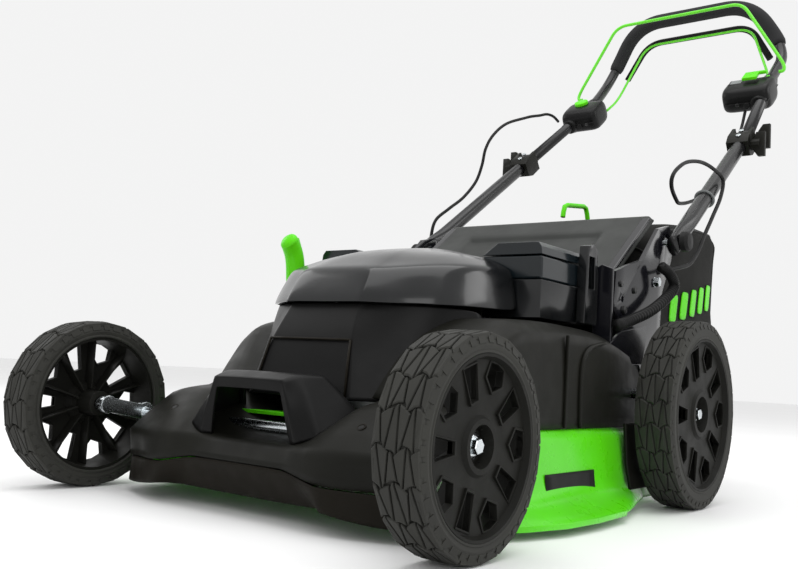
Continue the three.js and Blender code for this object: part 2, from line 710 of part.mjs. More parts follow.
function buildBag() {
  const mouth = block(-160, 160, 600, 640, 186, 316);
  add('grass_bag', cut(hull(bagCorners(0)), hull(bagCorners(6)), mouth), LOOKS.fabric());
  const ring = bentTube([
    [0, 606, 176], [176, 606, 176], [176, 606, 326], [-176, 606, 326], [-176, 606, 176], [-6, 606, 176],
  ], 26, 4, 8, 32);
  add('bag_frame', ring, LOOKS.satinBlack());
  const loop = bentTube([
    [0, 710, 440], [0, 714, 462], [0, 798, 474], [0, 806, 452],
  ], 16, 4.5, 8, 12);
  add('bag_handle', loop, LOOKS.green());
}

// ---------------------------------------------------------------- handle

function buildBrackets() {
  const outline = [
    [446, 262], [452, 312], [480, 322], [540, 338], [596, 392], [636, 402], [656, 386],
    [648, 350], [616, 300], [606, 190], [590, 166], [526, 166], [500, 205], [470, 240],
  ];
  for (const [side, name] of [[1, 'left'], [-1, 'right']]) {
    const [x0, x1] = side > 0 ? [210, 216] : [-216, -210];
    const [f0, f1] = side > 0 ? [205, 211] : [-211, -205];
    const plate = prismX(outline, x0, x1);
    const foot = prismX([[520, 166], [596, 166], [596, 200.6], [520, 206]], x0, x1);
    const fold = prismX([[446, 262], [452, 312], [460, 312], [454, 262]], Math.min(f0, x0), Math.max(f1, x1));
    const flapHole = rodX(4 + GAP, -260, 260, FLAP_HINGE.y, FLAP_HINGE.z);
    const pivotHole = rodX(5.4, -260, 260, PIVOT.y, PIVOT.z);
    const bracket = cut(join(plate, foot, fold), flapHole, pivotHole, bodyUnderHood());
    add(`handle_bracket_${name}`, bracket, LOOKS.glossBlack());
    const bolt = join(
      rodX(5, 200, 246, PIVOT.y, PIVOT.z, 12),
      rodX(11, 243.4, 252, PIVOT.y, PIVOT.z, 6),
      rodX(10, 199, 205, PIVOT.y, PIVOT.z, 6),
    );
    const placed = side > 0 ? bolt : bolt.rotateZ(Math.PI).translate(0, 2 * PIVOT.y, 0);
    add(`pivot_bolt_${name}`, placed, LOOKS.zinc());
  }
}

function handleLine(share) {
  const x = 230 + (JOINT.x - 230) * share;
  return [x, PIVOT.y + (JOINT.y - PIVOT.y) * share, PIVOT.z + (JOINT.z - PIVOT.z) * share];
}

function mirrored(geometry, side) {
  return side > 0 ? geometry : geometry.clone().scale(-1, 1, 1);
}

function buildLowerHandles() {
  const axis = new THREE.LineCurve3(vec(...handleLine(0.1)), vec(...handleLine(0.965)));
  const tube = sweep(axis, HANDLE_TUBE, 12, 2);
  const [y, z] = [PIVOT.y, PIVOT.z];
  const tilt = Math.atan2(JOINT.z - PIVOT.z, JOINT.y - PIVOT.y);
  const flatEnds = [[-16, 10.1], [60, 8.3]];
  const flat = hull([-1, 1].flatMap((s) => flatEnds.flatMap(([along, half]) => [-15, 15].map((h) => [
    230 + s * half,
    y + along * Math.cos(tilt) - h * Math.sin(tilt),
    z + along * Math.sin(tilt) + h * Math.cos(tilt),
  ]))));
  const leg = cut(join(tube, flat), rodX(5.4, 190, 260, y, z));
  for (const [side, name] of [[1, 'left'], [-1, 'right']]) {
    add(`lower_handle_${name}`, mirrored(leg, side), LOOKS.glossBlack());
  }
}

// A solid drawn in the frame of the upper handle: u across, v along the tube, w above it.
function alongUpper(geometry, origin) {
  const slope = Math.atan2(WRIST.z - JOINT.z - 2, WRIST.y - JOINT.y - 4);
  return geometry.rotateX(slope).translate(origin.x, origin.y, origin.z);
}

function buildClamps() {
  for (const [side, name] of [[1, 'left'], [-1, 'right']]) {
    const cheeks = hull([-1, 1].flatMap((s) => [
      [s * 19, -46, -14], [s * 19, -46, 14], [s * 19, -30, -20], [s * 19, -30, 20],
      [s * 19, 4, -20], [s * 19, 4, 20],
    ]));
    const clamp = alongUpper(cheeks, { x: JOINT.x, y: JOINT.y, z: JOINT.z });
    const lowerBore = sweep(
      new THREE.LineCurve3(vec(...handleLine(0.7)), vec(...handleLine(0.966))), HANDLE_TUBE + GAP, 12, 2);
    const hingeSpace = rodX(15, JOINT.x - 13.4, JOINT.x + 13.4, JOINT.y + 4, JOINT.z + 2, 16);
    const foldSlot = alongUpper(block(-13.4, 13.4, -16, 12, 0, 30), JOINT);
    const pin = rodX(4.4, JOINT.x - 18, JOINT.x + 18, JOINT.y + 4, JOINT.z + 2);
    const hinge = join(cut(clamp, lowerBore, hingeSpace, foldSlot), pin);
    add(`clamp_${name}`, mirrored(hinge, side), LOOKS.satinBlack());
    const knobs = [['knob', JOINT.y + 4, JOINT.z + 2], ['lock_knob', JOINT.y - 26, JOINT.z - 19]];
    for (const [label, y, z] of knobs) {
      const boss = rodX(10, 242.4, 258, y, z, 10);
      const wing = hull([[246, 262, 5, 10], [254, 266, 4, 22]].flatMap(([x0, x1, half, reach]) => (
        [x0, x1].flatMap((x) => [-half, half].flatMap((dy) => (
          [-reach, reach].map((dz) => [x, y + dy, z + dz])
        )))
      )));
      add(`${label}_${name}`, mirrored(join(boss, wing), side), LOOKS.matteBlack());
    }
  }
}

function handleLoop() {
  const half = [
    [JOINT.x, JOINT.y + 4, JOINT.z + 2], [WRIST.x, WRIST.y, WRIST.z],
    [BEND.x, BEND.y, BEND.z], [BAR.x, BAR.y, BAR.z],
  ];
  return [...half, ...half.map(([x, y, z]) => [-x, y, z]).reverse()];
}

function buildUpperHandle() {
  const tube = bentTube(handleLoop(), 60, 11, 8, 38);
  const ends = [1, -1].map((s) => rodX(13, s * JOINT.x - 11, s * JOINT.x + 11, JOINT.y + 4, JOINT.z + 2));
  const pins = rodX(4.8, -260, 260, JOINT.y + 4, JOINT.z + 2, 12);
  add('upper_handle', cut(join(tube, ...ends), pins), LOOKS.glossBlack());
  const core = bentTube(handleLoop(), 60, 11 + GAP, 8, 38);
  const foam = bentTube(handleLoop(), 60, FOAM_RADIUS, 8, 38);
  const above = block(-300, 300, 1200, 1400, 912, 1100);
  add('foam_grip', surface(solid(foam).intersect(solid(above)).subtract(solid(core))), LOOKS.foam());
}

function buildControlBoxes() {
  const tubeCore = bentTube(handleLoop(), 60, 11 + GAP, 8, 38);
  const shell = (inward, long) => [
    [inward, -long, -20], [inward, -long, 14], [inward + 8, -long + 14, 30], [inward + 8, long - 6, 34],
    [inward, long, 20], [inward, long, -20], [20, -long, -22], [20, long, -22], [20, -long, 16],
    [20, long, 20], [12, -long + 12, 30], [12, long - 8, 34],
  ];
  const collar = [[-17, 20], [17, 20], [-24, 84], [11, 84]].flatMap(([u, v]) => [[u, v, -17], [u, v, 17]]);
  const left = alongUpper(join(hull(shell(-74, 44)), hull(collar)), BOX_CENTRE);
  add('control_box_left', cut(left, tubeCore), LOOKS.glossBlack());
  const otherHand = (corners) => hull(corners.map(([u, v, w]) => [-u, v, w]));
  const rightHalf = join(otherHand(shell(-62, 42)), otherHand(collar));
  const right = alongUpper(rightHalf, { ...BOX_CENTRE, x: -BOX_CENTRE.x });
  const buttonWell = alongUpper(rodZ(17, 22, 60, 14, 10), { ...BOX_CENTRE, x: -BOX_CENTRE.x });
  add('control_box_right', cut(right, tubeCore, buttonWell), LOOKS.glossBlack());
  const button = alongUpper(rodZ(15, 25, 37, 14, 10), { ...BOX_CENTRE, x: -BOX_CENTRE.x });
  add('start_button', button, LOOKS.green());
  const tab = alongUpper(
    join(block(-36, 6, 24, 32, 36, 42), block(-36, -8, -2, 32, 36, 42)), BOX_CENTRE);
  add('speed_lever', tab, LOOKS.green());
}

function buildBails() {
  const p = BLADE_BAIL_PIVOT;
  const blade = bentTube([
    [p.x - 10, p.y, p.z], [p.x, p.y, p.z], [p.x, p.y + 2, p.z + 14], [140, 1210, 974],
    [-140, 1210, 974], [-p.x, p.y + 2, p.z + 14], [-p.x, p.y, p.z], [-p.x + 10, p.y, p.z],
  ], 24, 4, 6, 44);
  add('blade_bail', blade, LOOKS.green());
  const d = DRIVE_BAIL_PIVOT;
  const wire = bentTube([
    [d.x, d.y, d.z], [d.x + 2, d.y + 62, d.z + 40], [122, 1340, 970], [-122, 1340, 970],
    [-d.x - 2, d.y + 62, d.z + 40], [-d.x, d.y, d.z],
  ], 34, 3.5, 6, 36);
  const pad = bentTube([
    [165, 1333, 888], [121, 1340, 970], [-121, 1340, 970], [-165, 1333, 888],
  ], 34, 7, 8, 24);
  add('drive_bail', join(wire, pad), LOOKS.satinBlack());
}

// ---------------------------------------------------------------- cables

const LEFT_CABLE = [
  [178, 1121, 712], [184, 1080, 668], [190, 1020, 606], [197, 950, 548], [200, 889, 509], [199, 818, 481],
  [200, 760, 462], [207, 700, 449], [222, 645, 444], [232, 600, 452], [236, 590, 466], [236, 612, 484],
  [236, 652, 502], [238, 706, 513], [241, 756, 512], [244, 792, 502], [246, 776, 470], [248, 735, 432],
  [250, 694, 396], [249, 668, 366],
];
const RIGHT_CABLE = [
  [-229, 1112, 738], [-230, 1090, 744], [-231, 1062, 742], [-232, 1030, 731], [-233, 982, 715],
  [-235, 901, 681], [-236, 853, 646],
  [-238, 829, 612], [-240, 821, 576], [-243, 806, 540], [-246, 769, 502], [-248, 726, 473], [-250, 686, 443],
  [-249, 672, 404], [-248, 662, 364], [-246, 640, 330], [-240, 600, 296],
];
const CONDUIT = [
  [234, 564, 331], [240, 580, 323], [243, 592, 306], [240, 566, 285], [236, 520, 263],
  [229, 472, 247], [226, 438, 238],
];

function buildCables() {
  add('cable_left', cable(LEFT_CABLE, 3, 60), LOOKS.rubber());
  add('cable_right', cable(RIGHT_CABLE, 3, 40), LOOKS.rubber());
  add('cable_conduit', cable(CONDUIT, 8, 20), LOOKS.rubber());
}

buildWheels();
buildCranks();
buildHeightLever();
buildDeck();
buildCuttingGear();
buildChuteDoor();
buildApron();
buildBodyCover();
buildCarryHandle();
buildHood();
buildBatteryBay();
buildRearFlap();
buildBag();
buildBrackets();
buildLowerHandles();
buildClamps();
buildUpperHandle();
buildControlBoxes();
buildBails();
buildCables();

// The origin goes under the middle of the whole mower.
const extent = new THREE.Box3().setFromObject(mower);
mower.position.y = -(extent.min.y + extent.max.y) / 2;

export default mower;
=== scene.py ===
"""Looks of the battery lawn mower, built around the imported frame.

Places are given in the mower's own millimetres: x to its left side, y back from the front
axle, z up from the ground. at() turns them into the frame's metres.
"""
import json
import math

import bmesh
import bpy
from mathutils import Matrix, Vector


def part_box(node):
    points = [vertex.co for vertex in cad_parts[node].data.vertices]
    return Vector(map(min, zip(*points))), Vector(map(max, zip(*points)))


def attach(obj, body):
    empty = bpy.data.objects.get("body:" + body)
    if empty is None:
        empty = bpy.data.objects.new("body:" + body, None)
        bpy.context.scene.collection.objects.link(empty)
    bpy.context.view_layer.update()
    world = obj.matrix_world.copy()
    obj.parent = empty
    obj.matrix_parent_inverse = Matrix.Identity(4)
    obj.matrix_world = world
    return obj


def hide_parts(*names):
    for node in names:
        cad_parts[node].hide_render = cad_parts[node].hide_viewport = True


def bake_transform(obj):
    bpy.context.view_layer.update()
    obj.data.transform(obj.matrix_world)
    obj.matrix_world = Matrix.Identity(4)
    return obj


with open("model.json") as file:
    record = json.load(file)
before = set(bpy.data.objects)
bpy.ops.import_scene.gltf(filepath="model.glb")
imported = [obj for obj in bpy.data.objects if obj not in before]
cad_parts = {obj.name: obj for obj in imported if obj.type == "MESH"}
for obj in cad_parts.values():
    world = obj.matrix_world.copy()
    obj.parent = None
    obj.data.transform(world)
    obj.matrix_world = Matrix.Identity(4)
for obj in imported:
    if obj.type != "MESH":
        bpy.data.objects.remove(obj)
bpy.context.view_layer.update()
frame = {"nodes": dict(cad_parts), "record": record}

NODES = frame["nodes"]
BODY_OF = {n: b for b, members in frame["record"]["behaviour"]["bodies"].items() for n in members}
SIDES = (("left", 1), ("right", -1))


def middle(node):
    """The middle of a CAD node's box, in metres."""
    low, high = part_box(node)
    return (low + high) / 2


AXLE_Y = middle("tyre_front_left").y
WHEELBASE = (middle("tyre_rear_left").y - AXLE_Y) * 1000
FRONT_RADIUS = middle("tyre_front_left").z * 1000
REAR_RADIUS = middle("tyre_rear_left").z * 1000
WHEEL_X = middle("tyre_front_left").x * 1000
TYRE_HALF = (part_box("tyre_front_left")[1].x * 1000) - WHEEL_X
MOTOR_Y = 265
FLAP_HINGE = (474, 276)
FLAP_ANGLE = math.atan2(414 - 276, 657 - 474)
JOINT = Vector((222, 978, 618))
WRIST = Vector((196, 1222, 801))
BOX_CENTRE = Vector((203, 1154, 750))
PIVOT = Vector((230, 628, 376))
BEND = Vector((201, 1325, 893))
BAR = Vector((132, 1304, 1008))
FOLD = (982, 620)
HANDLE_SLOPE = math.atan2(WRIST.z - FOLD[1], WRIST.y - FOLD[0])
CAMERA_PLACE = (722.1, -686.2, 164.0)
CAMERA_AZIMUTH, CAMERA_TILT, CAMERA_ROLL = (math.radians(a) for a in (37.38, 5.32, 3.30))
CAMERA_LENS = 41.22
CABLE_RADIUS = 3
HOSE_RADIUS = 7.2
HOSE_RIB = 0.8
UPPER_TUBE_RADIUS = 11
FOAM_RADIUS = 15.9
SCREW_LEAN = 0.62
RIM_SHARE = 0.80


def at(x, y, z):
    """A point given in the mower's millimetres, as the frame's metres."""
    return Vector((x / 1000, AXLE_Y + y / 1000, z / 1000))


def link(name, data):
    """A new object in the scene."""
    obj = bpy.data.objects.new(name, data)
    bpy.context.scene.collection.objects.link(obj)
    return obj


def closed_mesh(name, verts, faces):
    """A mesh from points in the mower's millimetres, with every face turned outwards."""
    mesh = bpy.data.meshes.new(name)
    mesh.from_pydata([at(*v) for v in verts], [], faces)
    shape = bmesh.new()
    shape.from_mesh(mesh)
    bmesh.ops.recalc_face_normals(shape, faces=shape.faces)
    shape.to_mesh(mesh)
    shape.free()
    return mesh


def band(first, second, count):
    """Faces between two rings of count points that start at first and second."""
    return [(first + i, first + (i + 1) % count, second + (i + 1) % count,
             second + i) for i in range(count)]


def oval(across, upward=None):
    """A section for swept(): a circle, or an ellipse from two radii."""
    upward = across if upward is None else upward
    return lambda share, angle: (across * math.cos(angle), upward * math.sin(angle))


def mirrored_loop(half):
    """A path right across the mower, from its left half."""
    return half + [(-x, y, z) for x, y, z in reversed(half)]


# ------------------------------------------------------------------ materials

def shader(name, base, rough, metallic=0.0, specular=0.5, coat=0.0, coat_rough=0.1):
    """A new material with its Principled shader and its object coordinates."""
    material = bpy.data.materials.new(name)
    material.use_nodes = True
    tree = material.node_tree
    bsdf = tree.nodes["Principled BSDF"]
    bsdf.inputs["Base Color"].default_value = (*base, 1)
    bsdf.inputs["Roughness"].default_value = rough
    bsdf.inputs["Metallic"].default_value = metallic
    bsdf.inputs["Specular IOR Level"].default_value = specular
    bsdf.inputs["Coat Weight"].default_value = coat
    bsdf.inputs["Coat Roughness"].default_value = coat_rough
    coords = tree.nodes.new("ShaderNodeTexCoord")
    return material, tree, bsdf, coords.outputs["Object"]


def noise_of(tree, coords, scale, detail=2.0, rough=0.5, stretch=None):
    """A noise pattern; scale is in repeats per metre."""
    if stretch:
        mapping = tree.nodes.new("ShaderNodeMapping")
        mapping.inputs["Scale"].default_value = stretch
        tree.links.new(coords, mapping.inputs["Vector"])
        coords = mapping.outputs["Vector"]
    pattern = tree.nodes.new("ShaderNodeTexNoise")
    pattern.inputs["Scale"].default_value = scale
    pattern.inputs["Detail"].default_value = detail
    pattern.inputs["Roughness"].default_value = rough
    tree.links.new(coords, pattern.inputs["Vector"])
    return pattern.outputs["Fac"]


def ramp(tree, value, low, high, start=0.35, end=0.65):
    """Maps a pattern to a range of colours or numbers."""
    mapped = tree.nodes.new("ShaderNodeMapRange")
    mapped.inputs["From Min"].default_value = start
    mapped.inputs["From Max"].default_value = end
    mapped.inputs["To Min"].default_value = low
    mapped.inputs["To Max"].default_value = high
    tree.links.new(value, mapped.inputs["Value"])
    return mapped.outputs["Result"]


def tinted(tree, value, dark, light, start=0.3, end=0.7):
    """A colour between dark and light, by a pattern."""
    mix = tree.nodes.new("ShaderNodeMix")
    mix.data_type = "RGBA"
    mix.inputs["A"].default_value = (*dark, 1)
    mix.inputs["B"].default_value = (*light, 1)
    tree.links.new(ramp(tree, value, 0, 1, start, end), mix.inputs["Factor"])
    return mix.outputs["Result"]


def bumped(tree, bsdf, height, strength, distance):
    """Raises the surface by a pattern."""
    bump = tree.nodes.new("ShaderNodeBump")
    bump.inputs["Strength"].default_value = strength
    bump.inputs["Distance"].default_value = distance
    tree.links.new(height, bump.inputs["Height"])
    tree.links.new(bump.outputs["Normal"], bsdf.inputs["Normal"])
    return bump


def scaled(colour, factor):
    """A colour made darker or lighter."""
    return tuple(channel * factor for channel in colour)


def moulded(name, base, rough, grain=900, grain_height=0.00004, variation=0.18, specular=0.11, **shine):
    """Moulded plastic: fine grain, faint cloudiness and slightly uneven gloss."""
    material, tree, bsdf, coords = shader(name, base, rough, specular=specular, **shine)
    cloud = noise_of(tree, coords, 14, 3)
    tint = tinted(tree, cloud, scaled(base, 1 - variation), scaled(base, 1 + variation))
    tree.links.new(tint, bsdf.inputs["Base Color"])
    patchy = noise_of(tree, coords, 45, 4)
    tree.links.new(ramp(tree, patchy, rough * 0.9, rough * 1.12), bsdf.inputs["Roughness"])
    bumped(tree, bsdf, noise_of(tree, coords, grain, 2), 0.5, grain_height)
    return material


def painted(name, base, rough, coat=0.15):
    """Powder coat: an orange-peel ripple under a clear gloss, a little duller in patches."""
    material, tree, bsdf, coords = shader(name, base, rough, specular=0.3, coat=coat, coat_rough=0.12)
    cloud = noise_of(tree, coords, 9, 3)
    tree.links.new(tinted(tree, cloud, scaled(base, 0.93), scaled(base, 1.07)), bsdf.inputs["Base Color"])
    patchy = noise_of(tree, coords, 60, 4)
    tree.links.new(ramp(tree, patchy, rough * 0.85, rough * 1.15), bsdf.inputs["Roughness"])
    bumped(tree, bsdf, noise_of(tree, coords, 140, 0), 0.06, 0.00004)
    return material


def metal(name, base, rough, stretch=(1, 1, 1), grain=500):
    """Plated or ground steel with a directional grain."""
    material, tree, bsdf, coords = shader(name, base, rough, metallic=1.0)
    brushed = noise_of(tree, coords, grain, 3, stretch=stretch)
    tree.links.new(tinted(tree, brushed, scaled(base, 0.93), scaled(base, 1.05)), bsdf.inputs["Base Color"])
    tree.links.new(ramp(tree, brushed, rough * 0.9, rough * 1.15), bsdf.inputs["Roughness"])
    bumped(tree, bsdf, brushed, 0.1, 0.00002)
    return material


def rubber(name, base, rough):
    """Tyre rubber: dusty, finely pitted and lighter where it is worn."""
    material, tree, bsdf, coords = shader(name, base, rough, specular=0.3)
    dust = noise_of(tree, coords, 22, 5, 0.6)
    tree.links.new(tinted(tree, dust, scaled(base, 0.8), scaled(base, 1.35)), bsdf.inputs["Base Color"])
    tree.links.new(ramp(tree, dust, rough * 0.92, min(1, rough * 1.08)), bsdf.inputs["Roughness"])
    bumped(tree, bsdf, noise_of(tree, coords, 700, 4), 0.6, 0.00012)
    return material


def woven(name, base, rough):
    """Coarse woven polyester: crossing threads, dusty and dull."""
    material, tree, bsdf, coords = shader(name, base, rough, specular=0.15)
    dust = noise_of(tree, coords, 16, 5, 0.6)
    tree.links.new(tinted(tree, dust, scaled(base, 0.7), scaled(base, 1.5)), bsdf.inputs["Base Color"])
    threads = []
    for direction in ("Y", "Z"):
        wave = tree.nodes.new("ShaderNodeTexWave")
        wave.bands_direction = direction
        wave.inputs["Scale"].default_value = 170
        wave.inputs["Distortion"].default_value = 1.2
        tree.links.new(coords, wave.inputs["Vector"])
        threads.append(wave.outputs["Fac"])
    weave = tree.nodes.new("ShaderNodeMath")
    weave.operation = "MULTIPLY"
    for socket, thread in zip(weave.inputs, threads):
        tree.links.new(thread, socket)
    bumped(tree, bsdf, weave.outputs["Value"], 0.6, 0.0004)
    return material


MATERIALS = {
    "deck_green": painted("deck_green", (0.085, 0.58, 0.004), 0.30),
    "body_black": moulded("body_black", (0.008, 0.008, 0.0062), 0.44),
    "apron_black": moulded("apron_black", (0.0075, 0.006, 0.0035), 0.55),
    "satin_black": moulded("satin_black", (0.0055, 0.0055, 0.0055), 0.36),
    "gloss_black": moulded("gloss_black", (0.004, 0.0045, 0.005), 0.20, grain_height=0.00001, specular=0.3,
                           coat=0.25),
    "flap_grey": moulded("flap_grey", (0.040, 0.042, 0.040), 0.42),
    "control_green": moulded("control_green", (0.10, 0.62, 0.008), 0.28, grain_height=0.00002,
                             variation=0.06),
    "bail_green": painted("bail_green", (0.12, 0.62, 0.02), 0.25),
    "bail_black": moulded("bail_black", (0.012, 0.012, 0.012), 0.42),
    "handle_black": painted("handle_black", (0.005, 0.005, 0.0055), 0.28, coat=0.15),
    "bracket_black": painted("bracket_black", (0.006, 0.006, 0.008), 0.16, coat=0.3),
    "steel_black": painted("steel_black", (0.010, 0.010, 0.010), 0.3),
    "steel": metal("steel", (0.42, 0.43, 0.44), 0.32),
    "zinc": metal("zinc", (0.62, 0.66, 0.68), 0.24),
    "cast_aluminium": metal("cast_aluminium", (0.40, 0.41, 0.42), 0.45, grain=250),
    "tyre": rubber("tyre", (0.020, 0.020, 0.017), 0.72),
    "rim_black": moulded("rim_black", (0.009, 0.009, 0.0075), 0.52),
    "foam": rubber("foam", (0.010, 0.010, 0.011), 0.75),
    "bag_fabric": woven("bag_fabric_woven", (0.010, 0.010, 0.009), 0.85),
    "lid_blue_black": moulded("lid_blue_black", (0.004, 0.007, 0.009), 0.16, grain_height=0.00001,
                              specular=0.3, coat=0.25),
    "control_black": moulded("control_black", (0.008, 0.008, 0.008), 0.30),
    "display_grey": moulded("display_grey", (0.20, 0.21, 0.21), 0.25, variation=0.05),
    "cable_rubber": moulded("cable_rubber", (0.010, 0.010, 0.010), 0.42),
}
SLOT_OF = {part["node"]: part["material_slot"] for part in frame["record"]["subparts"]}


# ------------------------------------------------------------------ mesh helpers

def soften(obj, width, segments=2, angle=28):
    """Rounds an object's sharp edges and shades the faces between them flat."""
    for polygon in obj.data.polygons:
        polygon.use_smooth = True
    weld = obj.modifiers.new("weld", "WELD")
    weld.merge_threshold = 0.00002
    flat = obj.modifiers.new("flat", "DECIMATE")
    flat.decimate_type = "DISSOLVE"
    flat.angle_limit = math.radians(2)
    bevel = obj.modifiers.new("bevel", "BEVEL")
    bevel.width = width / 1000
    bevel.segments = segments
    bevel.limit_method = "ANGLE"
    bevel.angle_limit = math.radians(angle)
    bevel.harden_normals = True
    return obj


def mesh_piece(name, verts, faces, material, body, replaces=(), bevel=0, smooth=False):
    """A new piece from points in the mower's millimetres."""
    mesh = closed_mesh(name, verts, faces)
    obj = link(name, mesh)
    mesh.materials.append(MATERIALS[material])
    if smooth:
        for polygon in mesh.polygons:
            polygon.use_smooth = True
    if bevel:
        soften(obj, bevel)
    if body:
        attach(obj, body)
    if replaces:
        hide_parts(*replaces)
    return obj


# ------------------------------------------------------------------ camera, light and floor

def set_camera():
    """The camera stands low at the mower's front left corner and looks slightly up."""
    data = bpy.data.cameras.new("camera")
    data.lens = CAMERA_LENS
    data.sensor_width = 36
    camera = link("camera", data)
    turn = (
        Matrix.Rotation(CAMERA_AZIMUTH, 4, "Z")
        @ Matrix.Rotation(math.radians(90) + CAMERA_TILT, 4, "X")
        @ Matrix.Rotation(CAMERA_ROLL, 4, "Z")
    )
    camera.matrix_world = Matrix.Translation(at(*CAMERA_PLACE)) @ turn
    bpy.context.scene.camera = camera


def area_light(name, place, target, size, power, height=None):
    """A rectangular lamp that points at its target."""
    data = bpy.data.lights.new(name, "AREA")
    data.shape = "RECTANGLE"
    data.size = size
    data.size_y = height or size
    data.energy = power
    light = link(name, data)
    light.location = place
    light.rotation_euler = (Vector(target) - Vector(place)).to_track_quat("-Z", "Y").to_euler()


def set_studio():
    """Soft light from above and both sides, on a plain pale floor."""
    world = bpy.data.worlds.new("studio")
    world.use_nodes = True
    background = world.node_tree.nodes["Background"]
    background.inputs["Color"].default_value = (1, 1, 1, 1)
    background.inputs["Strength"].default_value = 0.9
    bpy.context.scene.world = world
    bpy.context.scene.view_settings.view_transform = "Standard"
    area_light("top", (0.2, -0.3, 2.6), (0, 0, 0.3), 2.4, 36)
    area_light("front_left", (2.2, -2.2, 1.6), (0, 0, 0.3), 1.6, 16)
    area_light("back_left", (2.4, 1.6, 1.8), (0, 0.1, 0.5), 1.4, 18)
    area_light("right", (-2.4, -0.6, 1.6), (0, 0, 0.3), 1.5, 14)
    mesh = bpy.data.meshes.new("floor")
    reach = 12
    mesh.from_pydata([(-reach, -reach, 0), (reach, -reach, 0), (reach, reach, 0), (-reach, reach, 0)], [],
                     [(0, 1, 2, 3)])
    floor = link("floor", mesh)
    material, tree, bsdf, coords = shader("floor", (0.86, 0.86, 0.86), 0.6)
    cloud = noise_of(tree, coords, 3, 2)
    tree.links.new(tinted(tree, cloud, (0.85, 0.85, 0.85), (0.87, 0.87, 0.87)), bsdf.inputs["Base Color"])
    mesh.materials.append(material)


# ------------------------------------------------------------------ wheels

def ring(radius, x, count, phase=0.0):
    """Points on a circle in a wheel's own frame: x along the axle, then y and z."""
    turn = 2 * math.pi / count
    return [(x, radius * math.cos(phase + turn * i),
             radius * math.sin(phase + turn * i)) for i in range(count)]


def turned(profile, count):
    """Vertices and faces of a closed profile of (x, radius) turned round the axle."""
    verts = [p for x, radius in profile for p in ring(radius, x, count)]
    faces = []
    rows = len(profile)
    for row in range(rows):
        faces += band(row * count, (row + 1) % rows * count, count)
    return verts, faces


def merged(*parts):
    """Joins several (verts, faces) pairs."""
    verts, faces = [], []
    for part_verts, part_faces in parts:
        start = len(verts)
        verts += part_verts
        faces += [tuple(i + start for i in face) for face in part_faces]
    return verts, faces


def tread_block(corners, radius, height, taper):
    """One raised rubber block: corners are (across, along) in millimetres on the tread."""
    count = len(corners)
    mid_u = sum(c[0] for c in corners) / count
    mid_s = sum(c[1] for c in corners) / count
    verts = []
    for lift, shrink in ((-1.5, 1.0), (height * 0.7, 1.0), (height, taper)):
        for u, s in corners:
            x = mid_u + (u - mid_u) * shrink
            angle = (mid_s + (s - mid_s) * shrink) / radius
            crown = radius + lift - 2.2 * (x / TYRE_HALF) ** 4
            verts.append((x, crown * math.cos(angle), crown * math.sin(angle)))
    faces = [tuple(range(2 * count, 3 * count))]
    for row in range(2):
        faces += band(row * count, (row + 1) * count, count)
    return verts, faces


TREAD_EDGES = (-24.5, -15.5, -7.0, 1.5, 10.5, 18.0, 24.5)
TREAD_WAVE = (1.5, -3.5, 2.0, 5.0, -2.5, 3.0, -1.0)
TREAD_LEAN = (0.0, 2.2, -2.0, 1.8, -2.4, 1.6, 0.0)
GROOVE = 0.85


def tread(radius):
    """Bands of stone-shaped blocks between wavy grooves, all round a tyre."""
    depth = 3.0
    base = radius - depth
    bands = round(2 * math.pi * radius / 32)
    pitch = 2 * math.pi * base / bands
    blocks = []
    for band in range(bands):
        flip = -1 if band % 2 else 1
        waves = [flip * w for w in TREAD_WAVE]
        start = band * pitch
        after = [-w for w in waves]
        for k in range(len(TREAD_EDGES) - 1):
            left, right = TREAD_EDGES[k] + GROOVE, TREAD_EDGES[k + 1] - GROOVE
            lean_l, lean_r = TREAD_LEAN[k], TREAD_LEAN[k + 1]
            low_l, low_r = start + waves[k] + GROOVE, start + waves[k + 1] + GROOVE
            top_l, top_r = start + pitch + after[k] - GROOVE, start + pitch + after[k + 1] - GROOVE
            peak = (left + right) / 2
            corners = [
                (left - lean_l, low_l), (peak, (low_l + low_r) / 2 - 1.2), (right - lean_r, low_r),
                (right + lean_r, top_r), (peak, (top_l + top_r) / 2 - 1.2), (left + lean_l, top_l),
            ]
            blocks.append(tread_block(corners, base, depth, 0.90))
    return merged(*blocks)


def tyre_shape(radius):
    """Carcass with rounded shoulders, a plain side wall and a thin ring by the rim."""
    bead = radius * RIM_SHARE
    half = TYRE_HALF
    outer = [(half - 7.5, radius - 3.2), (half - 3.5, radius - 5.0), (half - 1.2, radius - 8.5),
             (half - 0.4, radius - 13), (half - 1.4, bead + 3.6), (half - 0.6, bead + 2.6),
             (half - 0.6, bead + 1.2), (half - 2.2, bead)]
    inner = [(-x, r) for x, r in reversed(outer)]
    carcass = turned(outer + inner, 96)
    lugs = []
    count = round(2 * math.pi * radius / 16)
    for i in range(count):
        for side in (1, -1):
            lugs.append(shoulder_lug(radius, 2 * math.pi * i / count, side, i % 2))
    return merged(carcass, tread(radius), *lugs)


def shoulder_lug(radius, angle, side, wide):
    """A low block that wraps over the shoulder."""
    span = (6.2 if wide else 4.6) / radius
    profile = [(TYRE_HALF - 4.6, radius - 1.6), (TYRE_HALF - 1.6, radius - 4.6), (TYRE_HALF, radius - 10.5)]
    inner = [(TYRE_HALF - 6.5, radius - 5.0), (TYRE_HALF - 4.0, radius - 8.0),
             (TYRE_HALF - 2.0, radius - 11.5)]
    verts = []
    for a in (angle - span, angle + span):
        for x, r in profile + inner:
            verts.append((side * x, r * math.cos(a), r * math.sin(a)))
    faces = [(0, 1, 7, 6), (1, 2, 8, 7), (0, 3, 4, 1), (1, 4, 5, 2), (6, 7, 10, 9), (7, 8, 11, 10),
             (0, 6, 9, 3), (2, 5, 11, 8)]
    return verts, faces


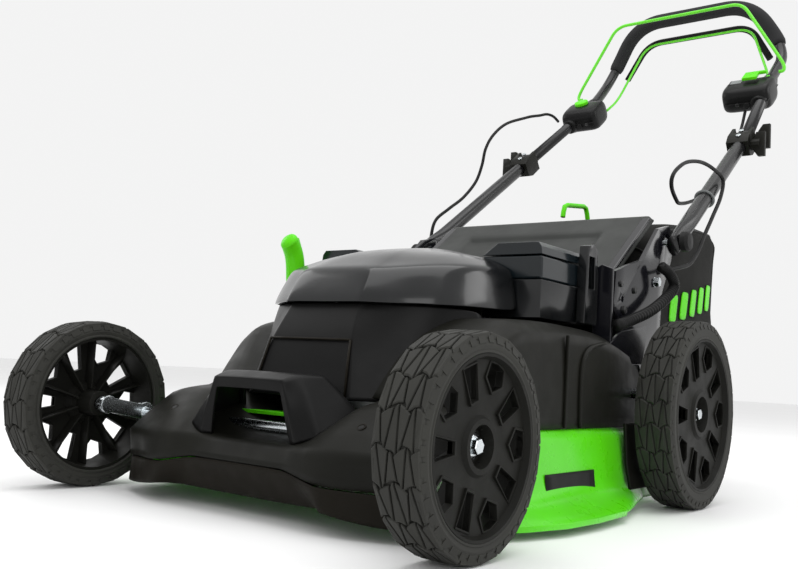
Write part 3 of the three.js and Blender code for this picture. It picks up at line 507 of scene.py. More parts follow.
def window(radius, index):
    """Outline of a rim window as (y, z): five long spoke slots and five short ones between."""
    angle = 2 * math.pi * index / 10
    if index % 2:
        shape = [(0.40, -0.055), (0.40, 0.055), (0.71, 0.105), (0.71, -0.105)]
    else:
        shape = [(0.49, 0.0), (0.585, 0.135), (0.725, 0.115), (0.745, 0.0), (0.725, -0.115),
                 (0.585, -0.135)]
    points = []
    for along, across in shape:
        u, v = along * radius, across * radius
        points.append((u * math.cos(angle) - v * math.sin(angle),
                       u * math.sin(angle) + v * math.cos(angle)))
    return points


def prism(outline, x0, x1):
    """An outline of (y, z) drawn out along x."""
    count = len(outline)
    verts = [(x0, y, z) for y, z in outline] + [(x1, y, z) for y, z in outline]
    faces = [tuple(range(count))[::-1], tuple(range(count, 2 * count))]
    faces += band(0, count, count)
    return verts, faces


def frame_round(outline, grow, x0, x1):
    """A raised lip round a window."""
    cy = sum(p[0] for p in outline) / len(outline)
    cz = sum(p[1] for p in outline) / len(outline)
    wider = []
    for y, z in outline:
        reach = math.hypot(y - cy, z - cz)
        wider.append((y + (y - cy) / reach * grow, z + (z - cz) / reach * grow))
    count = len(outline)
    verts = [(x0, *p) for p in outline] + [(x1, *p) for p in outline]
    verts += [(x0, *p) for p in wider] + [(x1, *p) for p in wider]
    faces = []
    for i in range(count):
        j = (i + 1) % count
        faces.append((count + i, count + j, 3 * count + j, 3 * count + i))
        faces.append((2 * count + i, 3 * count + i, 3 * count + j, 2 * count + j))
        faces.append((i, j, count + j, count + i))
        faces.append((i, 2 * count + i, 2 * count + j, j))
    return verts, faces


def wheel_place(part, wheel_middle, side):
    """Puts a wheel part, built round its own axle with its outer face at +x, at its wheel."""
    verts, faces = part
    moved = [(wheel_middle[0] + side * x, wheel_middle[1] + y, wheel_middle[2] + z) for x, y, z in verts]
    return moved, faces


def cut_by(obj, tool_name, verts, faces):
    """Cuts a closed tool out of an object and keeps the result as its mesh."""
    mesh = closed_mesh(tool_name, verts, faces)
    tool = link(tool_name, mesh)
    modifier = obj.modifiers.new("cut", "BOOLEAN")
    modifier.operation = "DIFFERENCE"
    modifier.solver = "EXACT"
    modifier.object = tool
    depsgraph = bpy.context.evaluated_depsgraph_get()
    result = bpy.data.meshes.new_from_object(obj.evaluated_get(depsgraph))
    obj.modifiers.remove(modifier)
    old = obj.data
    obj.data = result
    bpy.data.meshes.remove(old)
    bpy.data.objects.remove(tool)
    bpy.data.meshes.remove(mesh)


def rim_parts(radius):
    """The dished face, and the lips, ribs and hub that stand on it."""
    bead = radius * RIM_SHARE
    half = TYRE_HALF
    face = half - 8
    plate = turned([
        (half - 1.0, bead + 0.3), (half - 1.0, bead - 2.5), (face + 0.5, bead - 5.0),
        (face - 1.5, radius * 0.40),
        (face - 0.5, radius * 0.27), (face + 3.0, radius * 0.24), (face + 3.0, radius * 0.19),
        (face - 9.0, radius * 0.17), (face - 9.0, 7), (face - 13, 7), (face - 13, radius * 0.21),
        (face - 6, radius * 0.26), (face - 6, bead - 6.5), (-half + 8, bead - 3.5), (-half + 4, bead - 3.5),
        (-half + 4, bead + 0.3),
    ], 96)
    windows = [window(radius, i) for i in range(10)]
    openings = merged(*[prism(w, face - 20, face + 20) for w in windows])
    lips = merged(*[frame_round(w, 2.6, face - 7, face + 1.4) for w in windows])
    ribs = []
    for i in range(10):
        a = 2 * math.pi * (i + 0.5) / 10
        along, across = (math.cos(a), math.sin(a)), (-math.sin(a), math.cos(a))
        outline = []
        for u, v in ((radius * 0.17, -1), (radius * 0.17, 1), (bead - 5, 1), (bead - 5, -1)):
            outline.append((along[0] * u + across[0] * v, along[1] * u + across[1] * v))
        ribs.append(prism(outline, -4, face - 5))
    hub = turned([(-half + 2, 8), (-half + 2, 15), (face - 8, 15), (face - 8, 8)], 32)
    return plate, openings, merged(lips, *ribs, hub)


def bolt_head(x, flat_width, thick, washer, lean=0.2):
    """A hexagon head on a flanged washer."""
    across = flat_width / math.sqrt(3)
    hexagon = [(across * math.cos(lean + math.pi / 3 * i),
                across * math.sin(lean + math.pi / 3 * i)) for i in range(6)]
    small = [(y * 0.86, z * 0.86) for y, z in hexagon]
    verts = []
    for depth, outline in ((x, hexagon), (x + thick * 0.85, hexagon), (x + thick, small)):
        verts += [(depth, *p) for p in outline]
    faces = [tuple(range(12, 18)), tuple(range(6))[::-1]]
    for row in (0, 6):
        faces += band(row, row + 6, 6)
    flange = turned([(x - 2.2, 0.5), (x - 2.2, washer), (x - 1.2, washer), (x + 0.8, washer * 0.7),
                     (x + 0.8, 0.5)], 32)
    return merged((verts, faces), flange)


def make_wheels():
    """Four wheels, each a tyre, a cut disc, its ribs and its bolt."""
    for end, y, radius in (("front", 0, FRONT_RADIUS), ("rear", WHEELBASE, REAR_RADIUS)):
        plate, openings, details = rim_parts(radius)
        for label, side in SIDES:
            name = f"{end}_{label}"
            body = f"wheel_{name}"
            centre = (side * WHEEL_X, y, radius)
            mesh_piece(f"tread_{name}", *wheel_place(tyre_shape(radius), centre, side), "tyre", body,
                       (f"tyre_{name}",))
            disc = mesh_piece(f"disc_{name}", *wheel_place(plate, centre, side), "rim_black", body,
                              (f"rim_{name}",))
            cut_by(disc, "windows", *wheel_place(openings, centre, side))
            soften(disc, 0.7, 2, 30)
            mesh_piece(f"disc_ribs_{name}", *wheel_place(details, centre, side), "rim_black", body,
                       bevel=0.5)
            head = bolt_head(TYRE_HALF - 14, 13, 7, 12.5)
            mesh_piece(f"wheel_bolt_{name}", *wheel_place(head, centre, side), "zinc", body, bevel=0.4)


# ------------------------------------------------------------------ panels and bars

def mirror_row(row):
    """A full row from its half, which starts at the middle plane."""
    return [(-x, y, z) for x, y, z in reversed(row[1:])] + list(row)


def set_creases(mesh, width, row_creases, column_creases, mirrored):
    """Keeps chosen rows and columns of a grid sharp when it is smoothed."""
    shape = bmesh.new()
    shape.from_mesh(mesh)
    layer = shape.edges.layers.float.get("crease_edge") or shape.edges.layers.float.new("crease_edge")
    middle_column = (width - 1) // 2 if mirrored else 0
    for edge in shape.edges:
        first, second = sorted(v.index for v in edge.verts)
        row, column = divmod(first, width)
        if second == first + 1:
            edge[layer] = row_creases.get(row, 0)
        elif second == first + width:
            edge[layer] = column_creases.get(abs(column - middle_column), 0)
    shape.to_mesh(mesh)
    shape.free()


def grid_piece(name, rows, material, body, replaces=(), wall=3.0, row_creases=None, column_creases=None,
               levels=2, mirrored=True, flipped=False):
    """A moulded panel through rows of points, smoothed between its creases, with a real wall."""
    if mirrored:
        rows = [mirror_row(row) for row in rows]
    width = len(rows[0])
    verts = [point for row in rows for point in row]
    faces = []
    for r in range(len(rows) - 1):
        for c in range(width - 1):
            a = r * width + c
            face = (a, a + 1, a + width + 1, a + width)
            faces.append(face[::-1] if flipped else face)
    mesh = bpy.data.meshes.new(name)
    mesh.from_pydata([at(*v) for v in verts], [], faces)
    set_creases(mesh, width, row_creases or {}, column_creases or {}, mirrored)
    for polygon in mesh.polygons:
        polygon.use_smooth = True
    mesh.materials.append(MATERIALS[material])
    obj = link(name, mesh)
    subdivide = obj.modifiers.new("smooth", "SUBSURF")
    subdivide.levels = subdivide.render_levels = levels
    thick = obj.modifiers.new("wall", "SOLIDIFY")
    thick.thickness = wall / 1000
    thick.offset = -1
    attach(obj, body)
    if replaces:
        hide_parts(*replaces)
    return obj


def bar(name, outline, axis, start, end, material, body, bevel=2.0, replaces=(), segments=3):
    """A straight bar with rounded edges.

    The outline is (y, z) along x, (x, z) along y or (x, y) along z.
    """
    placed = {
        "x": lambda u, v, w: (w, u, v),
        "y": lambda u, v, w: (u, w, v),
        "z": lambda u, v, w: (u, v, w),
    }[axis]
    count = len(outline)
    verts = [placed(u, v, start) for u, v in outline] + [placed(u, v, end) for u, v in outline]
    faces = [tuple(range(count)), tuple(range(count, 2 * count))[::-1]]
    faces += band(0, count, count)
    obj = mesh_piece(name, verts, faces, material, body, replaces)
    soften(obj, bevel, segments, 20)
    return obj


def rounded_path(corners, bend, steps=8):
    """Straight runs between corners, joined by arcs that start a bend's length before each corner."""
    points = [Vector(c) for c in corners]
    path = [points[0]]
    for before, corner, after in zip(points, points[1:], points[2:]):
        reach_in = min(bend, (corner - before).length * 0.49)
        reach_out = min(bend, (after - corner).length * 0.49)
        start = corner + (before - corner).normalized() * reach_in
        end = corner + (after - corner).normalized() * reach_out
        for i in range(steps + 1):
            t = i / steps
            path.append(start * (1 - t) ** 2 + corner * 2 * t * (1 - t) + end * t ** 2)
    path.append(points[-1])
    return path


def smooth_path(corners, steps=6):
    """A curve through every point."""
    points = [Vector(c) for c in corners]
    padded = [points[0] * 2 - points[1]] + points + [points[-1] * 2 - points[-2]]
    path = []
    for a, b, c, d in zip(padded, padded[1:], padded[2:], padded[3:]):
        for i in range(steps):
            t = i / steps
            path.append(0.5 * ((2 * b) + (c - a) * t + (2 * a - 5 * b + 4 * c - d) * t ** 2
                               + (3 * b - a - 3 * c + d) * t ** 3))
    path.append(points[-1])
    return path


def swept(path, section, sides=16):
    """A closed tube. section(share, angle) gives the two reaches from the path at that place."""
    verts, faces = [], []
    tangent = (path[1] - path[0]).normalized()
    across = tangent.cross(Vector((0, 0, 1)))
    if across.length < 0.1:
        across = tangent.cross(Vector((0, 1, 0)))
    across.normalize()
    for i, point in enumerate(path):
        ahead = path[min(i + 1, len(path) - 1)] - path[max(i - 1, 0)]
        if ahead.length > 1e-9:
            turn = tangent.rotation_difference(ahead.normalized())
            across = turn @ across
            tangent = ahead.normalized()
        upward = across.cross(tangent).normalized()
        for k in range(sides):
            angle = 2 * math.pi * k / sides
            u, v = section(i / (len(path) - 1), angle)
            verts.append(tuple(point + across * u + upward * v))
    for i in range(len(path) - 1):
        faces += band(i * sides, (i + 1) * sides, sides)
    faces.append(tuple(range(sides))[::-1])
    faces.append(tuple(range(len(verts) - sides, len(verts))))
    return verts, faces


def tube_piece(name, path, radius, material, body, replaces=(), sides=16):
    """A round bar or cable along a path."""
    part = swept(path, oval(radius), sides)
    return mesh_piece(name, *part, material, body, replaces, smooth=True)


# ------------------------------------------------------------------ front cover, apron and carry handle

def make_nose():
    """The low front of the cover: a dropped face in the middle and a hump over each front wheel."""
    rows = [
        [(0, -9, 58), (58, -9, 58), (68, -9, 58), (97, -13, 52.5), (120, -15, 47.5), (150, -8, 46.5),
         (178, 6, 46), (205, 14, 44), (227, 36, 43)],
        [(0, 6, 80), (58, 6, 80), (71, 2, 81), (100, -11, 79), (119, -12, 79), (150, -8, 78), (178, 2, 77),
         (207, 10, 75), (228, 34, 73)],
        [(0, 30, 83), (58, 30, 83), (82, 16, 87), (98, 10, 94), (119, 14, 100), (141, 19, 103.5),
         (178, 32, 104), (206, 44, 102), (229, 62, 96)],
        [(0, 60, 88), (58, 60, 90), (88, 62, 106), (104, 60, 120), (119, 60, 126), (136, 61, 129),
         (176, 64, 127), (205, 70, 120), (229, 92, 112)],
        [(0, 92, 100), (58, 92, 112), (90, 92, 124), (110, 94, 131), (125, 96, 134), (150, 98, 134),
         (180, 102, 132), (206, 106, 126), (230, 118, 116)],
        [(0, 132, 104), (58, 132, 116), (90, 132, 126), (110, 132, 134), (125, 132, 136), (150, 134, 136),
         (180, 136, 134), (206, 138, 128), (229, 146, 118)],
    ]
    grid_piece("front_cover", rows, "body_black", "chassis", ("body_cover",),
               row_creases={0: 1, 1: 0.75, 2: 0.7, 3: 0.6}, column_creases={2: 0.6, 3: 0.5, 6: 0.4, 7: 0.6})
    for label, side in SIDES:
        spot = (side * 143, 24, 105.2)
        recess = turned([(-0.4, 0.2), (-0.4, 5.2), (0.5, 5.2), (0.5, 4.0), (-0.2, 3.6), (-0.2, 0.2)], 24)
        verts = [tilted(p, spot, SCREW_LEAN) for p in recess[0]]
        mesh_piece(f"cover_screw_seat_{label}", verts, recess[1], "apron_black", "chassis")
        head = turned([(-1.2, 0.1), (-1.2, 3.2), (0.3, 3.2), (0.3, 0.1)], 18)
        verts = [tilted(p, spot, SCREW_LEAN) for p in head[0]]
        mesh_piece(f"cover_screw_{label}", verts, head[1], "bail_black", "chassis", bevel=0.3)


def tilted(point, origin, lean):
    """Turns a part built along x to stand on a slope that rises backwards by lean, at origin."""
    along, u, v = point
    return (origin[0] + u, origin[1] + v * math.cos(lean) - along * math.sin(lean),
            origin[2] + v * math.sin(lean) + along * math.cos(lean))


def make_apron():
    """The lower bumper, whose top seam drops on both sides of the middle."""
    rows = [
        [(0, 22, 19), (60, 22, 19), (100, 20, 20), (122, 2, 21), (150, 4, 17), (178, 14, 13), (205, 22, 13),
         (226, 40, 13)],
        [(0, 12, 20), (60, 12, 20), (104, 9, 21.5), (125, -12, 22.5), (150, -9, 18.5), (178, 4, 14.5),
         (205, 12, 14), (227, 32, 14)],
        [(0, 1, 38), (60, 1, 38), (90, -1, 38), (121, -14, 33), (150, -9, 32), (178, 5, 30), (205, 13, 29),
         (227, 34, 28)],
        [(0, -9.5, 56.6), (66, -9.5, 56.6), (82, -11, 54), (119, -15.5, 46.2), (150, -8.5, 45.2),
         (178, 5.5, 44.6), (205, 13.5, 42.6), (227, 35.5, 41.8)],
        [(0, 0, 57), (64, 0, 57), (80, -2, 54), (117, -6, 46), (149, 0, 45), (175, 14, 44), (200, 24, 42),
         (220, 42, 41)],
    ]
    grid_piece("front_bumper", rows, "apron_black", "chassis", ("front_apron",),
               row_creases={1: 0.7, 3: 1, 2: 0.2}, column_creases={2: 0.6, 3: 0.7})


def make_carry_handle():
    """The arch that the front is lifted by, open in front and behind."""
    rows = [
        [(0, 2, 134.5), (30, 2, 134.5), (49, 2, 134), (55, 5, 108), (60, 10, 81)],
        [(0, -1, 146.5), (32, -0.5, 146.5), (52, 1, 146), (62, 2, 116), (72, 4, 82)],
        [(0, 21, 154.5), (36, 22, 154), (57, 23, 153), (78, 17, 124), (99, 11, 92)],
        [(0, 52, 154), (42, 52, 153.5), (65, 52, 152.5), (79, 66, 136), (92, 82, 116)],
        [(0, 58, 146), (40, 58, 146), (60, 58, 145), (73, 70, 130), (85, 84, 110)],
    ]
    grid_piece("carry_arch", rows, "satin_black", "chassis", ("carry_handle",), wall=4.0,
               row_creases={0: 0.9, 1: 0.75, 2: 0.45, 3: 0.6, 4: 1}, column_creases={2: 0.55, 4: 1}, levels=3)


# ------------------------------------------------------------------ body sides

SIDE_STATIONS_LEFT = (
    (98, ((229, 106), (227, 113), (222, 119), (205, 127), (150, 132), (70, 132), (0, 132))),
    (120, ((230, 106), (229, 132), (225, 158), (208, 170), (150, 170), (100, 168), (0, 168))),
    (150, ((230, 106), (229.5, 150), (226, 196), (204, 211), (150, 209), (100, 207), (0, 207))),
    (190, ((230, 106), (230, 160), (228, 211), (204, 227), (150, 227), (100, 226), (0, 226))),
    (240, ((230, 106), (230, 165), (228, 215), (206, 230), (150, 231), (100, 231), (0, 231))),
    (300, ((230, 106), (230, 165), (228, 217), (206, 230), (150, 231), (100, 231), (0, 231))),
    (400, ((230, 106), (230, 165), (228, 215), (206, 228), (150, 230), (100, 230), (0, 230))),
    (455, ((229, 106), (228, 160), (224, 206), (204, 221), (150, 224), (100, 224), (0, 224))),
    (520, ((224, 106), (220, 155), (215, 197), (200, 209), (150, 212), (100, 212), (0, 212))),
    (598, ((218, 106), (212, 150), (206, 190), (194, 201), (150, 204), (100, 204), (0, 204))),
)
SIDE_STATIONS_RIGHT = (
    (98, ((229, 106), (227, 113), (222, 119), (200, 127), (178, 130), (160, 131), (130, 132), (70, 132),
          (0, 132))),
    (120, ((230, 106), (228, 118), (222, 126), (196, 130), (176, 136), (170, 152), (140, 168), (90, 168),
           (0, 168))),
    (150, ((229, 106), (227, 119), (219, 128), (192, 131), (178, 140), (174, 188), (148, 208), (100, 207),
           (0, 207))),
    (190, ((229, 106), (227, 119), (219, 128), (192, 131), (184, 142), (180, 202), (156, 223), (100, 225),
           (0, 226))),
    (300, ((229, 106), (227, 119), (219, 128), (194, 131), (187, 142), (184, 206), (162, 229), (100, 230),
           (0, 231))),
    (430, ((229, 106), (227, 119), (219, 128), (196, 131), (188, 142), (186, 206), (166, 228), (100, 229),
           (0, 230))),
    (500, ((226, 106), (222, 119), (215, 128), (200, 131), (192, 142), (190, 198), (176, 212), (100, 214),
           (0, 214))),
    (598, ((220, 106), (216, 119), (210, 128), (202, 131), (196, 142), (194, 190), (182, 202), (100, 204),
           (0, 204))),
)


def side_rows(stations, side):
    """Rows of points from front to back, from profiles that run up the side."""
    count = len(stations[0][1])
    return [[(side * profile[i][0], y, profile[i][1]) for y, profile in stations] for i in range(count)]


def make_sides():
    """The tall left side and the stepped right side of the cover."""
    grid_piece("body_side_left", side_rows(SIDE_STATIONS_LEFT, 1), "body_black", "chassis",
               row_creases={0: 1, 2: 0.75, 3: 0.5}, column_creases={3: 0.4}, mirrored=False)
    grid_piece("body_side_right", side_rows(SIDE_STATIONS_RIGHT, -1), "body_black", "chassis",
               row_creases={0: 1, 2: 0.6, 3: 0.7, 4: 0.6, 5: 0.75, 6: 0.5}, column_creases={2: 0.6},
               mirrored=False, flipped=True)
    rib = [(286, 107), (291, 107), (290.4, 160), (290, 216), (286.5, 216)]
    bar("side_rib", rib, "x", 229, 233.5, "body_black", "chassis", 1.6)
    arch = smooth_path([(231, 328, 107), (231, 326, 150), (230.5, 331, 186), (230, 352, 204),
                        (229.5, 394, 212)], 6)
    part = swept(arch, oval(3.4, 2.4), 10)
    mesh_piece("side_arch_bead", *part, "body_black", "chassis", smooth=True)


# ------------------------------------------------------------------ motor hood, cap and battery lid

def make_tower():
    """The motor hood: flat in front, with glossy flanks that sweep back."""
    rows = [
        [(0, 80, 128), (50, 80, 128), (77, 80, 128), (83, 85, 128), (100, 101, 128), (122, 122, 128),
         (140, 152, 128), (150, 200, 128)],
        [(0, 88, 161), (48, 88, 161), (71, 88, 161), (76, 92, 161), (94, 109, 161), (116, 131, 161),
         (136, 162, 161), (150, 208, 161)],
        [(0, 95.5, 194), (46, 95.5, 194), (62, 95.5, 194), (67, 99.5, 194), (88, 117, 194), (113, 139, 194),
         (134, 168, 194), (150, 216, 194)],
        [(0, 111, 223), (44, 111, 223), (56, 111, 223), (61, 115, 223), (84, 129, 223), (110, 146, 223),
         (133, 172, 223), (150, 226, 223)],
        [(0, 119, 238), (42, 119, 238), (54, 119, 238), (59, 123, 238), (82, 135, 238), (108, 150, 238),
         (132, 176, 238), (150, 230, 238)],
    ]
    grid_piece("motor_hood_shell", rows, "satin_black", "chassis", ("motor_hood",),
               row_creases={3: 0.3}, column_creases={2: 0.8, 3: 0.4}, levels=3)


def make_cap():
    """The glossy cap: a dark steep front that breaks into a long top facing the sky."""
    rows = [
        [(0, 112, 239), (40, 112, 239), (57, 112, 239), (62, 115, 239), (100, 137, 239), (131, 163, 240),
         (147, 200, 241), (151, 250, 243), (151, 304, 244)],
        [(0, 113.5, 249), (40, 113.5, 249), (56.5, 114, 249), (61.5, 117, 249), (99, 139, 249),
         (130, 165, 250), (146, 202, 252), (150, 250, 254), (150, 304, 255)],
        [(0, 132, 281), (38, 132, 281), (54, 134, 280), (59.5, 137.5, 280), (90, 155, 283), (117, 177, 286),
         (137, 212, 290), (142, 255, 293), (142, 304, 295)],
        [(0, 160, 293.5), (36, 160, 293), (51, 163, 291.5), (58, 166, 291), (80, 177, 293), (100, 195, 297),
         (115, 222, 301), (121, 258, 304), (122, 304, 306)],
        [(0, 205, 315), (26, 205, 314.6), (38, 206, 314), (48, 209, 313.2), (64, 216, 312.4),
         (80, 228, 312), (92, 246, 312.4), (97, 268, 313), (98, 304, 314)],
        [(0, 304, 329), (11, 304, 328.8), (22, 304, 328), (33, 304, 326.8), (44, 304, 325), (55, 304, 323),
         (66, 304, 320.8), (76, 304, 318.6), (86, 304, 316.4)],
    ]
    grid_piece("hood_cap_shell", rows, "gloss_black", "chassis", ("hood_cap",),
               row_creases={0: 1, 2: 0.35}, column_creases={2: 0.3}, levels=3)


def make_lid():
    """Two raised blocks and a low middle, with the parting line round the blocks."""
    block_outline = [(95, 285.5), (183, 285.5), (182.5, 315), (95, 315)]
    top_outline = [(95, 316.4), (182.4, 316.4), (181, 326), (176, 332), (118, 332), (99, 318)]
    for label, side in SIDES:
        low = [(side * x, z) for x, z in block_outline]
        high = [(side * x, z) for x, z in top_outline]
        bar(f"lid_block_low_{label}", low, "y", 307, 434, "lid_blue_black", "battery_lid", 3.0)
        bar(f"lid_block_top_{label}", high, "y", 307.4, 432, "lid_blue_black", "battery_lid", 5.0)
    middle = [(-96, 286), (96, 286), (96, 313), (60, 321), (0, 328), (-60, 321), (-96, 313)]
    bar("lid_middle", middle, "y", 308, 434, "gloss_black", "battery_lid", 2.0, ("battery_lid",))


# ------------------------------------------------------------------ rear flap, brackets and conduit

def on_flap(x, along, above):
    """A point given by its place along the rear flap and its height above it."""
    y, z = FLAP_HINGE
    return (x, y + along * math.cos(FLAP_ANGLE) - above * math.sin(FLAP_ANGLE),
            z + along * math.sin(FLAP_ANGLE) + above * math.cos(FLAP_ANGLE))


BOX_FACES = [(0, 1, 3, 2), (4, 6, 7, 5), (0, 4, 5, 1), (2, 3, 7, 6), (0, 2, 6, 4), (1, 5, 7, 3)]


def flap_bar(name, x0, x1, a0, a1, h0, h1, material, bevel):
    """A straight rib lying on the flap."""
    corners = [on_flap(x, along, above) for x in (x0, x1) for along in (a0, a1) for above in (h0, h1)]
    piece = mesh_piece(name, corners, BOX_FACES, material, "rear_flap")
    soften(piece, bevel, 3, 20)


def make_flap():
    """The discharge flap: a raised border round a shallow tray, with a glossy rail on each edge."""
    across = (0, 60, 116, 124, 166, 178, 183)
    along = (4, 60, 120, 172, 181, 214, 225, 228)
    rows = []
    for a in along:
        row = []
        for x in across:
            raised = x >= 124 or a >= 181
            above = 9 if raised else 3
            if x >= 183 or a >= 228:
                above = 1
            row.append(on_flap(x, a, above))
        rows.append(row)
    grid_piece("flap_panel", rows, "flap_grey", "rear_flap", ("rear_flap",),
               row_creases={3: 0.6, 4: 0.6, 6: 0.7, 7: 1}, column_creases={2: 0.6, 3: 0.6, 5: 0.7, 6: 1},
               flipped=True)
    for label, side in SIDES:
        inner, outer = sorted((side * 168, side * 184))
        flap_bar(f"flap_rail_{label}", inner, outer, 18, 222, 6, 12, "bracket_black", 3)


def moved(part, spot):
    """Shifts a part to a place."""
    return [(x + spot[0], y + spot[1], z + spot[2]) for x, y, z in part[0]], part[1]


def make_bracket_details():
    """Front plates and fasteners of the handle brackets."""
    for label, side in SIDES:
        face = [(side * 189, 222), (side * 216, 206), (side * 216, 314), (side * 200, 320),
                (side * 189, 314)]
        bar(f"bracket_face_{label}", face, "y", 441, 446, "bracket_black", "chassis", 1.2)
        low = [(436, 214), (470, 232), (557, 246), (560, 226), (545, 190), (470, 188), (436, 192)]
        bar(f"bracket_skirt_{label}", low, "x", side * 213, side * 217.5, "bracket_black", "chassis", 1.0)
        for i, (y, z, radius) in enumerate(((466, 296, 4.5), (478, 262, 6), (512, 292, 5), (600, 330, 6))):
            head = turned([(0, 0.1), (0, radius), (3.4, radius * 0.9), (3.8, 0.1)], 20)
            head = [(side * (216 + x), u, v) for x, u, v in head[0]], head[1]
            mesh_piece(f"bracket_rivet_{label}_{i}", *moved(head, (0, y, z)), "steel_black", "chassis",
                       bevel=0.4)
        bolt = bolt_head(216, 13, 7, 9)
        bolt = [(side * x, u, v) for x, u, v in bolt[0]], bolt[1]
        mesh_piece(f"bracket_bolt_{label}", *moved(bolt, (0, 588, 312)), "zinc", "chassis", bevel=0.4)


def make_conduit():
    """The ribbed hose that takes the cable down to the deck."""
    route = [(234, 564, 331), (240, 580, 323), (243, 592, 306), (240, 566, 285), (236, 520, 263),
             (229, 472, 247), (226, 438, 238)]
    ribs = 46

    def ribbed(share, angle):
        radius = HOSE_RADIUS + HOSE_RIB * math.cos(2 * math.pi * ribs * share)
        return radius * math.cos(angle), radius * math.sin(angle)

    part = swept(smooth_path(route, 44), ribbed, 16)
    mesh_piece("ribbed_hose", *part, "cable_rubber", "chassis", ("cable_conduit",), smooth=True)


# ------------------------------------------------------------------ handle

def mirrored_points(points, side):
    """The same points on the left or the right."""
    return [(side * x, y, z) for x, y, z in points]


def flattened(length, flat_to, round_from, wide, tall, radius):
    """A tube section that starts flattened and becomes round."""
    def section(share, angle):
        blend = min(1, max(0, (share * length - flat_to) / (round_from - flat_to)))
        blend = blend * blend * (3 - 2 * blend)
        u = wide + (radius - wide) * blend
        v = tall + (radius - tall) * blend
        return u * math.cos(angle), v * math.sin(angle)
    return section


def make_lower_handles():
    """Two tubes that are flattened at their pivots, with a cap over each pivot."""
    top = Vector((222.3, 962, 608))
    line = (top - PIVOT)
    start = PIVOT - line.normalized() * 15
    length = (top - start).length
    path = [start.lerp(top, i / 40) for i in range(41)]
    for label, side in SIDES:
        part = swept(path, flattened(length, 30, 95, 8.5, 16, 12.5), 20)
        verts = mirrored_points(part[0], side)
        mesh_piece(f"lower_tube_{label}", verts, part[1], "handle_black", "lower_handle",
                   (f"lower_handle_{label}",), smooth=True)
        cap = turned([(0, 0.1), (0, 15), (8, 15), (12, 12), (13.2, 0.1)], 28)
        verts = [(side * (240 + x), PIVOT.y + u, PIVOT.z + v) for x, u, v in cap[0]]
        mesh_piece(f"pivot_cap_{label}", verts, cap[1], "bail_black", "lower_handle", bevel=0.6)


def handle_loop():
    """The corners of the upper handle's tube."""
    return mirrored_loop([(JOINT.x, *FOLD), tuple(WRIST), tuple(BEND), tuple(BAR)])


def make_upper_handle():
    """The tube, the foam over its bends, and the eyes that it folds on."""
    path = rounded_path(handle_loop(), 60, 14)
    tube_piece("upper_tube", path, UPPER_TUBE_RADIUS, "handle_black", "upper_handle", ("upper_handle",), 24)
    for label, side in SIDES:
        eye = turned([(-11, 0.1), (-11, 13), (11, 13), (11, 0.1)], 24)
        verts = [(side * JOINT.x + x, FOLD[0] + u, FOLD[1] + v) for x, u, v in eye[0]]
        mesh_piece(f"fold_eye_{label}", verts, eye[1], "handle_black", "upper_handle", bevel=1.2)
    dense = []
    for a, b in zip(path, path[1:]):
        steps = max(1, int((b - a).length / 6))
        dense += [a.lerp(b, i / steps) for i in range(steps)]
    covered = [point for point in dense if point.z > 908]

    def foam_section(share, angle):
        end = min(share, 1 - share)
        size = FOAM_RADIUS if end > 0.006 else 14
        return size * math.cos(angle), size * math.sin(angle)

    part = swept(covered, foam_section, 24)
    sleeve = mesh_piece("foam_sleeve", *part, "foam", "upper_handle", ("foam_grip",), smooth=True)


def on_box(side, u, v, w):
    """A point near a control box: u across, v along the handle, w above it."""
    c, sine = math.cos(HANDLE_SLOPE), math.sin(HANDLE_SLOPE)
    return (side * (BOX_CENTRE.x + u), BOX_CENTRE.y + v * c - w * sine, BOX_CENTRE.z + v * sine + w * c)


def rounded_box_verts(side, inner, outer, sections=14, around=36):
    """A barrel-sided housing, across the handle, with rounded ends."""
    verts, faces = [], []
    for i in range(sections):
        share = i / (sections - 1)
        u = inner + (outer - inner) * (0.5 - 0.5 * math.cos(math.pi * share))
        end = abs(2 * (u - inner) / (outer - inner) - 1)
        size = (1 - end ** 7) ** (1 / 3.2) if end < 1 else 0.0
        size = 0.55 + 0.45 * size
        taper = 1 - 0.10 * (1 - share)
        for k in range(around):
            angle = 2 * math.pi * k / around
            c, sine = math.cos(angle), math.sin(angle)
            v = 43 * size * taper * math.copysign(abs(c) ** 0.55, c)
            w = 5 + 26 * size * math.copysign(abs(sine) ** 0.62, sine)
            verts.append(on_box(side, u, v, w))
    for i in range(sections - 1):
        strip = band(i * around, (i + 1) * around, around)
        faces += strip if side < 0 else [face[::-1] for face in strip]
    first = tuple(range(around))
    last = tuple(range((sections - 1) * around, sections * around))
    faces.append(first[::-1] if side < 0 else first)
    faces.append(last if side < 0 else last[::-1])
    return verts, faces


def box_slab(name, side, u0, u1, v0, v1, w0, w1, material, bevel):
    """A flat strip or plate on a control box."""
    corners = [on_box(side, u, v, w) for u in (u0, u1) for v in (v0, v1) for w in (w0, w1)]
    piece = mesh_piece(name, corners, BOX_FACES, material, "upper_handle")
    soften(piece, bevel, 3, 20)


def box_tube(name, side, points, radii, material):
    """A round part near a box, through points with a radius at each end."""
    path = [Vector(on_box(side, *point)) for point in points]

    def tapered(share, angle):
        radius = radii[0] + (radii[1] - radii[0]) * share
        return radius * math.cos(angle), radius * math.sin(angle)

    part = swept(path, tapered, 24)
    piece = mesh_piece(name, *part, material, "upper_handle")
    soften(piece, 1.2, 2, 30)


